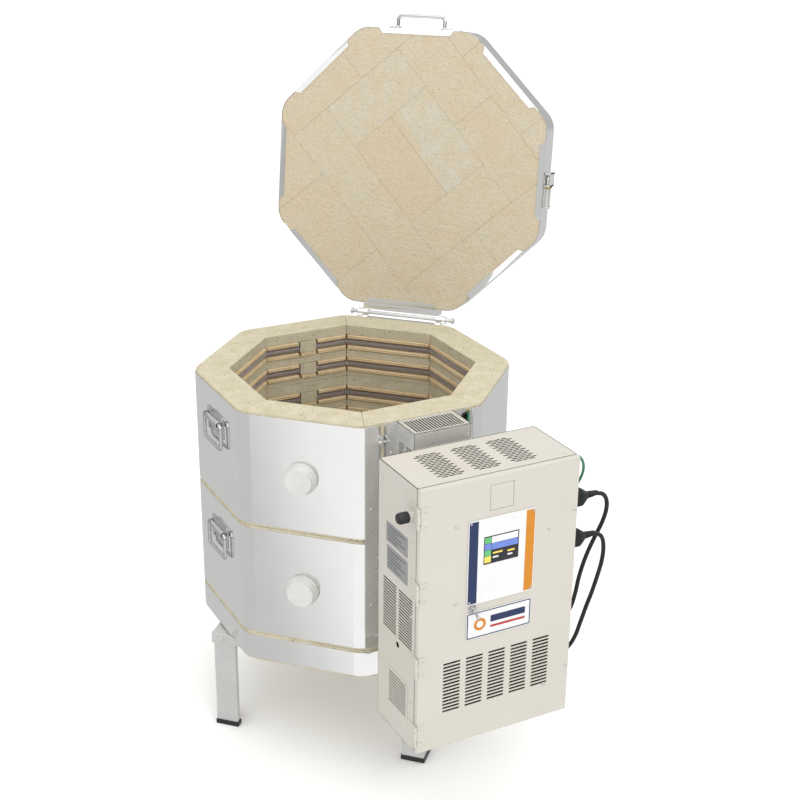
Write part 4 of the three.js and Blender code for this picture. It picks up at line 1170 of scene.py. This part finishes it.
def make_lid_handle():
    shape = Shape()
    up, half, out = GRIP["up"], GRIP["half"], GRIP["out"]
    foot = ON_JACKET + 1
    path = rounded_path([(foot, -half, up), (out, -half, up), (out, half, up), (foot, half, up)], 9)
    shape.tube(path, GRIP["bar"], 18)
    for side in (-1, 1):
        inner, outer = side * (half - 7), side * (half + 19.5)
        y = (min(inner, outer), max(inner, outer))
        shape.prism(rounded(y, (up - 8, up + 8), 6), ON_JACKET, ON_JACKET + 1.8, "x")
        collar = [(0, 6.6), (1.6, 6.2), (3.4, 4.6), (3.41, 0)]
        shape.lathe((ON_JACKET + 1.6, side * half, up), OUT, collar, 20)
        shape.screw((ON_JACKET + 1.7, side * (half + 12.5), up), OUT, 3.4, 2)
    shape.build("lid_lift_handle", "chrome", on_lid("B"), "lid", ("lid_handle",), bevel=0.35)


TENSIONER = {"low": TOP + 10, "high": TOP + 60, "rods": (TOP + 20, TOP + 50), "out": ON_JACKET + 6}


def make_tensioner():
    """The screw clamp that pulls the lid's band tight."""
    low, high, out = TENSIONER["low"], TENSIONER["high"], TENSIONER["out"]
    shape = Shape()
    shape.box((ON_JACKET, ON_JACKET + 1.4), (-16, 56), (low, high))
    for start, end, reach in ((-16, -13, 12), (9, 12, 12), (53, 56, 9)):
        shape.box((ON_JACKET, ON_JACKET + reach), (start, end), (low, high))
    shape.box((ON_JACKET + 10.6, ON_JACKET + 12), (-16, 12), (low + 4, high - 4))
    for up in TENSIONER["rods"]:
        shape.rod((out, -8, up), (out, 60, up), 2.2, 14)
        for i in range(22):
            shape.lathe((out, 16 + i * 1.6, up), RIGHT, [(0, 2.1), (0.5, 2.55), (1.0, 2.1)], 12)
    shape.build("band_tensioner_clamp", "galvanised", on_lid("D"), "lid", ("lid_band_tensioner",), bevel=0.3,
                segments=1)
    nuts = Shape()
    for up in TENSIONER["rods"]:
        nuts.bolt((out, 12.2, up), RIGHT, 4.2, 3.4)
    nuts.build("band_tensioner_nuts", "brass", on_lid("D"), "lid", bevel=0.3)


def make_screws(name, paint, matrix, places, direction, radius, height, body="kiln"):
    """One piece with a screw at each place."""
    shape = Shape()
    for place in places:
        shape.screw(place, direction, radius, height)
    shape.build(name, paint, matrix, body)


def make_hinge():
    detailed("lid_hinge_leaf", "stainless", 0.5, "lid")
    detailed("hinge_bracket", "stainless", 0.5)
    shape = Shape()
    left, right, knob = -119, 111, 5
    shape.rod((HINGE_OUT, left, HINGE_UP), (HINGE_OUT, right, HINGE_UP), 4, 24)
    for y in (left, right - knob):
        shape.rod((HINGE_OUT, y, HINGE_UP), (HINGE_OUT, y + knob, HINGE_UP), 6.5, 24, 1)
    shape.build("hinge_pin_rod", "steel", on_facet("F"), nodes=("hinge_rod",))
    columns = (-64, -24, 16, 56)
    lower = [(ON_JACKET + 2, y, TOP - 34) for y in columns]
    make_screws("hinge_bracket_screws", "steel", on_facet("F"), lower, OUT, 3.6, 2.2)
    upper = [(ON_JACKET + 2, y, TOP + 32) for y in columns]
    make_screws("hinge_leaf_screws", "steel", on_lid("F"), upper, OUT, 3.6, 2.2, "lid")


make_lid_bricks()
make_lid_band()
make_lid_handle()
make_tensioner()
make_hinge()


# ---------------------------------------------------------------- stand
def make_stand():
    detailed("stand_frame", "steel", 0.8)
    for place, turn in (("back_right", 0), ("back_left", 90), ("front_left", 180), ("front_right", 270)):
        detailed(f"leg_{place}", "steel", 0.7)
        detailed(f"foot_cap_{place}", "black", 0.9)
        bolts = Shape()
        for x, y, direction in ((202, 223, RIGHT), (223, 202, OUT)):
            bolts.bolt((x, y, STAND_TOP - 11), direction, 5.2, 3.8)
        matrix = AXIS @ MM @ about_z(turn)
        bolts.build(f"leg_bolts_{place}", "steel", matrix, bevel=0.3)


make_stand()

# ---------------------------------------------------------------- element cover, rail and bracket
COVER = {
    "left": -55, "right": 59, "front": 354, "low": TOP - 446, "high": TOP - 1, "sheet": 1.2,
    "wire_hole": (84.5, TOP - 16),
}


def make_element_cover():
    measures = ("left", "right", "front", "low", "high", "sheet")
    left, right, front, low, high, sheet = (COVER[measure] for measure in measures)
    shape = Shape()
    slots = [slot((295.5, 348.5), (y, y + 3.3), 3) for y in (-46 + 5.75 * i for i in range(17))]
    shape.sheet(rectangle((ON_JACKET, front), (left, right)), slots, high - sheet, high, "z")
    shape.sheet(rectangle((ON_JACKET, front), (left, right)), [], low, low + sheet, "z")
    shape.sheet(rectangle((left, right), (low, high)), [], front - sheet, front, "x")
    drops = [38 + i * 5.4 for i in range(12)]
    vents = [slot(x, (TOP - drop, TOP - drop + 2.4), 3) for x in ((298, 318), (324, 344)) for drop in drops]
    shape.sheet(rectangle((ON_JACKET, front), (low, high)), vents, left, left + sheet, "y")
    shape.sheet(rectangle((ON_JACKET, front), (low, high)), [], right - sheet, right, "y")
    shape.sheet(rectangle((-74, left + 0.6), (low, high)), [], ON_JACKET, ON_JACKET + 1.5, "x")
    wire_hole = circle(*COVER["wire_hole"], 6)
    shape.sheet(rectangle((right - 0.6, 97), (low, high)), [wire_hole], ON_JACKET, ON_JACKET + 1.5, "x")
    shape.build("element_cover_sheet", "galvanised", BOX_SIDE, nodes=("element_cover",), bevel=0.22,
                segments=1, angle=50)
    # A dark sheet under the top's slots: painted shade for the cover's shadowed inside.
    shade_boxes = Shape()
    shade_boxes.box((ON_JACKET + 3, front - 4), (left + 4, right - 4), (high - 12, high - 11))
    shade_boxes.build("cover_shade_sheet", "dark", BOX_SIDE)


def make_cover_fittings():
    trims = Shape()
    grommet = [(0, 8), (2, 8), (2.8, 6.8), (2.8, 4.6), (0, 4.4)]
    trims.lathe((ON_JACKET + 1.2, *COVER["wire_hole"]), OUT, grommet, 20)
    trims.build("cover_grommet", "black", BOX_SIDE)
    places = [(ON_JACKET + 1.5, y, TOP - drop) for drop in (60, 220, 380) for y in (-65, 78)]
    places += [(ON_JACKET + 1.8, -104, TOP - drop) for drop in (163, 359)]
    make_screws("cover_screws", "steel", BOX_SIDE, places, OUT, 3.4, 1.8)


def make_mounting_rail():
    rail = Shape()
    rail.prism(rounded((-117, -91), (TOP - 426, TOP - 1), 7), ON_JACKET + 0.3, ON_JACKET + 1.8, "x")
    rail.build("mounting_rail_strip", "galvanised", BOX_SIDE, nodes=("mounting_rail",), bevel=0.3, segments=1)


make_element_cover()
make_cover_fittings()
make_mounting_rail()
detailed("control_box_bracket", "cream", 0.8)
detailed("thermocouple", "ceramic", 0.8)


# ---------------------------------------------------------------- control case
def grid_slots(x, rows, top, pitch, height):
    return [slot(x, (top - i * pitch - height, top - i * pitch), 3) for i in range(rows)]


def perforations(start, wide, near, rows, pitch=5.75):
    """Staggered short slots as (out, along) outlines, row by row."""
    holes = []
    step, edge = wide / 4, 0.8
    for i in range(rows):
        out = near + i * pitch
        columns, shift = (4, 0) if i % 2 else (3, wide / 8)
        for k in range(columns):
            begin = start + shift + k * step
            holes.append(rounded((out, out + 3.8), (begin + edge, begin + step - edge), edge, 1))
    return holes


SUPPLY_GLAND = (505, 75)


def make_case():
    back, front, left, right, top, low = (CASE[k] for k in ("back", "front", "left", "right", "top", "low"))
    sheet = 1.5
    shape = Shape()
    holes = [hole for start in (-88, -17, 54) for hole in perforations(start, 54, 404.5, 17)]
    shape.sheet(rectangle((back, front), (left, right)), holes, top - 0.7, top, "z")
    gland = circle(*SUPPLY_GLAND, 8, 18)
    shape.sheet(rectangle((back, front), (left, right)), [gland], low, low + sheet, "z")
    shape.sheet(rectangle((left, right), (low, top)), [], back, back + sheet, "x")
    shape.sheet(rectangle((back, front), (low, top)), [], right - sheet, right, "y")
    side = []
    for column in (401, 458.5):
        side += grid_slots((column, column + 50), 17, TOP - 231, 5.85, 3.7)
    side += grid_slots((427, 491), 11, TOP - 407, 6, 3.7)
    side.append(circle(456, TOP - 343, 6, 16))
    shape.sheet(rectangle((back, front), (low, top)), side, left, left + sheet, "y")
    shape.build("control_case_shell", "cream", BOX_SIDE, nodes=("control_case",), bevel=0.3, segments=1,
                angle=50)


def make_case_shade_sheets():
    """Dark sheets behind the openings: painted shade for the case's shadowed inside."""
    back, front, left, right, top, low = (CASE[k] for k in ("back", "front", "left", "right", "top", "low"))
    shade_boxes = Shape()
    shade_boxes.box((back + 2, back + 3), (left + 5, right - 5), (low + 5, top - 5))
    shade_boxes.box((back + 2, front - 26), (left + 5, left + 6), (low + 5, top - 5))
    shade_boxes.box((back + 2, front - 26), (left + 5, right - 5), (top - 6, top - 5))
    shade_boxes.box((front - 27, front - 26), (left + 5, right - 5), (low + 5, LOUVRES["top"] + 8))
    shade_boxes.build("case_shade_sheets", "dark", BOX_SIDE)


def make_fan_grille():
    left = CASE["left"]
    grille = Shape()
    frame_outline = rounded((421, 497), (TOP - 477, TOP - 401), 6)
    grille.sheet(frame_outline, grid_slots((427, 491), 11, TOP - 407, 6, 3.7), left - 1.1, left - 0.05, "y")
    for out in (426, 492):
        for drop in (406, 472):
            grille.screw((out, left - 1.1, TOP - drop), LEFT, 2.8, 1.6)
    grille.build("fan_grille", "cream", BOX_SIDE, bevel=0.25, segments=1, angle=50)


def make_case_screws():
    screws = Shape()
    left, top = CASE["left"], CASE["top"]
    for out, drop in ((398, 45), (398, 400), (506, 120), (506, 260), (506, 430)):
        screws.screw((out, left, TOP - drop), LEFT, 2.6, 1.5)
    for y in (-120, 155):
        for out in (392, 508):
            screws.screw((out, y, top), UP, 2.4, 1.3)
    screws.build("case_screws", "cream", BOX_SIDE)


FUSE = {"out": 508, "up": TOP - 70, "ridges": 26, "ridge": 0.6}


def make_fuse():
    out, up, ridges = FUSE["out"], FUSE["up"], FUSE["ridges"]
    stub = Shape()
    profile = [(0, 10.5), (1.4, 10.5), (2, 8.2), (9.6, 8), (10, 7.6), (10, 0)]
    stub.lathe((out, CASE["left"], up), LEFT, profile, 28)
    stub.build("fuse_holder_stub", "cream", BOX_SIDE)
    cap = Shape()
    rings = []
    for along, radius in ((-148.3, 8.4), (-149.2, 9.4), (-163.5, 9.4), (-166.6, 8.8), (-168.2, 7.2)):
        ring = []
        for i in range(ridges * 2):
            angle = math.pi * i / ridges
            size = radius + (FUSE["ridge"] if i % 2 and radius > 9.2 else 0)
            ring.append((out + size * math.cos(angle), along, up + size * math.sin(angle)))
        rings.append(ring)
    cap.loft(rings)
    cap.build("fuse_cap_knob", "black", BOX_SIDE, "fuse_cap", ("fuse_cap",), bevel=0.2, segments=1, angle=40)


def make_rating_plates():
    """Two plates with plain bars in place of lettering."""
    left = CASE["left"]
    plates = Shape()
    plates.prism(rounded((413, 489), (TOP - 158, TOP - 121), 1.5), left - 0.7, left - 0.05, "y")
    plates.prism(rounded((416, 490), (TOP - 210, TOP - 165), 1.5), left - 0.7, left - 0.05, "y")
    plates.build("rating_plates", "grey", BOX_SIDE)
    lines = Shape()
    for high, rows in ((TOP - 126, 5), (TOP - 171, 6)):
        for i in range(rows):
            end = 482 - 14 * ((i * 5) % 3)
            lines.box((420, end), (left - 0.85, left - 0.6), (high - i * 6.2 - 2, high - i * 6.2))
    lines.build("rating_plate_lines", "ink", BOX_SIDE)


def make_case_hinges():
    """The case's half of each door hinge: a leaf with two knuckles, round the door's own knuckle."""
    left = CASE["left"]
    leaves = Shape()
    fixings = Shape()
    for drop in DOOR_HINGES:
        up = TOP - drop
        leaves.box((CASE["front"] - 16, DOOR - 5), (left - 1.2, left - 0.02), (up - 19, up + 19))
        for low, high in ((up - 19, up - 10), (up + 10, up + 19)):
            leaves.box((DOOR - 5.5, DOOR + 1.6), (left - 1.2, left - 0.02), (low, high))
            leaves.box((DOOR - 3, DOOR + 2), (left - 3.6, left - 0.5), (low, high))
            leaves.rod((DOOR + 2, left - 3.6, low), (DOOR + 2, left - 3.6, high), 2.8, 16, 0.4)
            fixings.screw((CASE["front"] - 8, left - 1.2, (low + high) / 2), LEFT, 2.4, 1.3)
    leaves.build("case_hinge_leaves", "cream", BOX_SIDE, bevel=0.25)
    fixings.build("case_hinge_screws", "cream", BOX_SIDE)


def make_sockets():
    sockets = Shape()
    face = CASE["right"] + 0.3
    sockets.prism(rounded((472, 508), (TOP - 225, TOP - 90), 4), face, face + 2, "y")
    for drop in SOCKET_DROPS.values():
        sockets.prism(rounded((476, 504), (TOP - drop - 17, TOP - drop + 17), 5), face + 1, face + 5, "y")
    for up in (TOP - 96, TOP - 157, TOP - 219):
        sockets.screw((490, face + 2, up), RIGHT, 2.8, 1.5)
    sockets.build("jumper_sockets", "black", BOX_SIDE, nodes=("outlet_sockets",), bevel=0.4)


def make_supply_gland():
    gland = Shape()
    out, along = SUPPLY_GLAND
    base = CASE["low"] - 0.3
    body = [(-12, 5.2), (-12, 7.4), (0, 7.4), (0, 12), (2.2, 12), (2.6, 10.6), (8, 10), (9, 9), (9, 5.2)]
    gland.lathe((out, along, base), DOWN, body, 20)
    gland.lathe((out, along, base - 2.2), DOWN, [(0, 11.6), (4.5, 11.6), (5, 10.8), (5, 5.4)], 6)
    gland.build("supply_cord_gland", "black", BOX_SIDE, nodes=("supply_gland",), bevel=0.25)


def make_relays():
    base = Shape()
    base.box((383.9, 387.6), (-70, 80), (TOP - 400, TOP - 290))
    base.build("relay_base", "galvanised", BOX_SIDE, nodes=("relay_bank",), bevel=0.5)
    relays = Shape()
    for y in (-52, 0, 52):
        relays.box((387.4, 420), (y - 17, y + 17), (TOP - 385, TOP - 305))
        relays.box((420, 421.4), (y - 12, y + 12), (TOP - 378, TOP - 345))
    relays.build("relays", "black", BOX_SIDE, bevel=1.2)


make_case()
make_case_shade_sheets()
make_fan_grille()
make_case_screws()
make_fuse()
make_rating_plates()
make_case_hinges()
make_sockets()
make_supply_gland()
make_relays()


# ---------------------------------------------------------------- control door
WINDOW = {"y": (-15, 53.5), "z": (TOP - 180, TOP - 128)}
KNOCKOUT = {"y": (-5, 41), "z": (TOP - 81, TOP - 34)}


def make_door():
    """A pan with rolled edges and its openings."""
    left, right, top, low = CASE["left"] + 0.3, CASE["right"], CASE["top"], CASE["low"]
    radius, sheet, back = 2.2, 1.5, CASE["front"] + 2.4
    shape = Shape()
    holes = [rectangle(grown(WINDOW["y"], 0.4), grown(WINDOW["z"], 0.4))]
    holes.append(rectangle(KNOCKOUT["y"], KNOCKOUT["z"]))
    for column in LOUVRES["columns"]:
        holes += grid_slots((column, column + LOUVRES["wide"]), LOUVRES["rows"], LOUVRES["top"],
                            LOUVRES["pitch"], LOUVRES["high"])
    shape.sheet(rounded((left + radius, right - radius), (low + radius, top - radius), 0.6, 2), holes,
                DOOR - sheet, DOOR, "x")
    rings = []
    for i in range(5):
        angle = math.pi / 2 * i / 4
        grow, sink = radius * math.sin(angle), radius * (1 - math.cos(angle))
        rings.append((DOOR - sink, grow))
    rings += [(back, radius), (back, radius - sheet), (DOOR - radius, radius - sheet), (DOOR - sheet, 0)]
    loops = []
    for out, grow in rings:
        across = (left + radius - grow, right - radius + grow)
        upright = (low + radius - grow, top - radius + grow)
        loops.append([(out, y, z) for y, z in rounded(across, upright, 0.6 + grow, 2)])
    shape.loft(loops, closed=True)
    shape.build("control_door_pan", "cream", BOX_SIDE, "control_door", ("control_door",), bevel=0.3,
                segments=1, angle=50)


def make_knockout(body="control_door", sheet=1.5):
    """The square plate that closes the door's spare opening, with a dark sheet behind its gap as painted
    shade.
    """
    plate = Shape()
    plate.prism(rectangle(grown(KNOCKOUT["y"], -0.7), grown(KNOCKOUT["z"], -0.7)), DOOR - sheet, DOOR, "x")
    plate.build("knockout_plate", "cream", BOX_SIDE, body, bevel=0.2, segments=1)
    # Painted shade: a dark sheet behind the gap round the plate, so the gap reads as a dark line.
    gap_shade = Shape()
    gap_shade.box((DOOR - sheet - 0.8, DOOR - sheet - 0.1), grown(KNOCKOUT["y"], 4), grown(KNOCKOUT["z"], 4))
    gap_shade.build("knockout_gap_shade", "dark", BOX_SIDE, body)


def make_door_hinges(body="control_door"):
    """The door's half of each hinge, with one knuckle."""
    left, axis = CASE["left"], (DOOR + 2, CASE["left"] - 3.6)
    leaves = Shape()
    fixings = Shape()
    for drop in DOOR_HINGES:
        up = TOP - drop
        leaves.box((DOOR - 0.1, DOOR + 1.2), (left + 1.3, left + 16), (up - 19, up + 19))
        leaves.box((DOOR + 0.2, DOOR + 1.2), (left - 3.6, left + 2.3), (up - 9.5, up + 9.5))
        leaves.rod((*axis, up - 9.6), (*axis, up + 9.6), 2.8, 16, 0.4)
        for side in (-12.5, 12.5):
            fixings.screw((DOOR + 1.2, left + 9, up + side), OUT, 2.4, 1.3)
    leaves.build("door_hinge_leaves", "cream", BOX_SIDE, body, bevel=0.25)
    fixings.build("door_hinge_screws", "steel", BOX_SIDE, body)


def make_door_screws():
    spots = ((-69, 96.5), (-68, 242), (115, 140.5), (167, 115), (167, 428), (120.5, 455))
    places = [(DOOR, y, TOP - drop) for y, drop in spots]
    make_screws("door_screws", "steel", BOX_SIDE, places, OUT, 3.3, 2.1, "control_door")


def inlay(name, paint, outline, out, high=0.12):
    """A flat printed or lit area on the door."""
    shape = Shape()
    shape.prism(outline, out, out + high, "x")
    shape.build(name, paint, BOX_SIDE, "control_door")


def make_panel():
    """The printed panel round the display: a plain coloured strip down each side."""
    face = DOOR + 0.3
    y, z = (-46, 86), (TOP - 252, TOP - 93)
    shape = Shape()
    window = rectangle(grown(WINDOW["y"], 0.4), grown(WINDOW["z"], 0.4))
    shape.sheet(rounded(y, z, 2.5), [window], face, face + 1.5)
    shape.build("control_overlay", "plaque", BOX_SIDE, "control_door", ("overlay_panel",), bevel=0.2,
                segments=1)
    top = face + 1.5
    inlay("overlay_navy_strip", "navy", rectangle((y[0] + 1.5, y[0] + 19), (z[0] + 2, z[1] - 2)), top)
    inlay("overlay_orange_strip", "orange", rectangle((y[1] - 19, y[1] - 1.5), (z[0] + 2, z[1] - 2)), top)
    corners = [(top + 0.1, along, up) for along in grown(y, -5) for up in grown(z, -5)]
    make_screws("overlay_screws", "chrome", BOX_SIDE, corners, OUT, 2.2, 1.2, "control_door")


def make_display():
    """A small screen with four keys on the left, a title, a band and four short bars."""
    y, z = WINDOW["y"], WINDOW["z"]
    out = DOOR + 1.2
    shape = Shape()
    shape.box((DOOR - 12, out), y, z)
    shape.build("display_housing", "screen", BOX_SIDE, "control_door", ("touch_screen",), bevel=0.4)
    edge, top, thin = y[0] + 15, z[1] - 2, 0.1
    wide = (edge, y[1] - 1.5)
    cell = (z[1] - z[0] - 4) / 4
    keys = (("one", "screen_green"), ("two", "screen_blue"), ("three", "screen_green"),
            ("four", "screen_yellow"))
    for i, (name, paint) in enumerate(keys):
        high = top - i * cell
        key = rectangle((y[0] + 1.5, edge - 0.8), (high - cell + 0.6, high))
        inlay(f"display_key_{name}", paint, key, out, thin)
    inlay("display_title", "plaque", rectangle(wide, (top - cell, top)), out, thin)
    inlay("display_band", "screen_blue", rectangle(wide, (top - 0.6 - 2 * cell, top - 0.6 - cell)), out, thin)
    for i, (begin, end, low) in enumerate(((3, 22, 17), (3, 14, 9), (32, 46, 15), (32, 42, 8))):
        bar = rectangle((edge + begin, edge + end), (z[0] + low, z[0] + low + 3.2))
        inlay(f"display_line_{i}", "plaque" if i % 2 else "screen_yellow", bar, out, thin)


def make_name_plate():
    """A plate with a plain disc and two bars in place of a name."""
    y, z = (-45, 85), (TOP - 320, TOP - 268)
    face = DOOR + 0.3
    shape = Shape()
    shape.prism(rounded(y, z, 3), face, face + 1.0, "x")
    shape.build("plain_name_plate", "plaque", BOX_SIDE, "control_door", ("name_plate",), bevel=0.2,
                segments=1)
    top = face + 1.0
    border = Shape()
    border.sheet(rounded(grown(y, -1.2), grown(z, -1.2), 2.4), [rounded(grown(y, -3.2), grown(z, -3.2), 1.6)],
                 top, top + 0.12)
    border.build("name_plate_border", "navy", BOX_SIDE, "control_door")
    middle = (z[0] + z[1]) / 2
    inlay("name_plate_disc", "orange", circle(y[0] + 27, middle, 12, 32), top)
    inlay("name_plate_dot", "plaque", circle(y[0] + 27, middle, 6.5, 28), top + 0.12)
    inlay("name_plate_bar", "navy", rounded((y[0] + 48, y[1] - 12), (middle - 1, middle + 12), 2), top)
    inlay("name_plate_rule", "red", rounded((y[0] + 48, y[1] - 12), (middle - 11.5, middle - 7), 1), top)


def make_toggle():
    out, y, z = DOOR, -34, TOP - 260
    bush = Shape()
    bush.lathe((out, y, z), OUT, [(0, 7.6), (0.9, 7.6), (1.2, 6.8), (1.2, 4)], 24)
    bush.lathe((out + 1.1, y, z), OUT, [(0, 6.6), (2.2, 6.6), (2.6, 5.9), (2.6, 3.4)], 6)
    thread = [(0, 4.2)]
    for i in range(5):
        thread += [(1.2 + i * 0.9, 4.2), (1.65 + i * 0.9, 3.8)]
    thread += [(6.2, 4.0), (6.2, 2.4), (5, 2.2)]
    bush.lathe((out + 0.5, y, z), OUT, thread, 20)
    bush.build("toggle_bush", "chrome", BOX_SIDE, "control_door", bevel=0.2, segments=1)
    lever = Shape()
    droop = math.radians(25)
    ahead = Vector((math.cos(droop), 0, -math.sin(droop)))
    bat = [(-1.6, 2.2), (0, 2.4), (3, 2.0), (9, 2.2), (15.5, 2.9), (18, 2.7), (19.4, 1.9), (20, 0.8), (20, 0)]
    lever.lathe((DOOR + 7, y, z), ahead, bat, 20)
    lever.build("toggle_bat", "chrome", BOX_SIDE, "toggle_lever", ("toggle_lever",), angle=40)


def make_board():
    shape = Shape()
    shape.box((DOOR - 16, DOOR - 14.4), (-30, 72), (TOP - 205, TOP - 110))
    shape.build("control_board_card", "board", BOX_SIDE, "control_door", ("controller_board",), bevel=0.3)
    parts = Shape()
    for y, z, wide, high, tall in ((-12, -125, 22, 12, 9), (30, -128, 28, 16, 12), (55, -160, 16, 30, 10),
                                   (-10, -170, 26, 26, 3), (24, -185, 30, 12, 11)):
        across = (y - wide / 2, y + wide / 2)
        parts.box((DOOR - 16 - tall, DOOR - 15.9), across, (TOP + z - high / 2, TOP + z + high / 2))
    for y in (-24, 66):
        for z in (TOP - 198, TOP - 117):
            parts.rod((DOOR - 15, y, z), (DOOR - 1.6, y, z), 3, 12)
    parts.build("control_board_parts", "black", BOX_SIDE, "control_door", bevel=0.4)


make_door()
make_knockout()
make_door_hinges()
make_door_screws()
make_panel()
make_display()
make_name_plate()
make_toggle()
make_board()

# ---------------------------------------------------------------- scene update
bpy.context.view_layer.update()
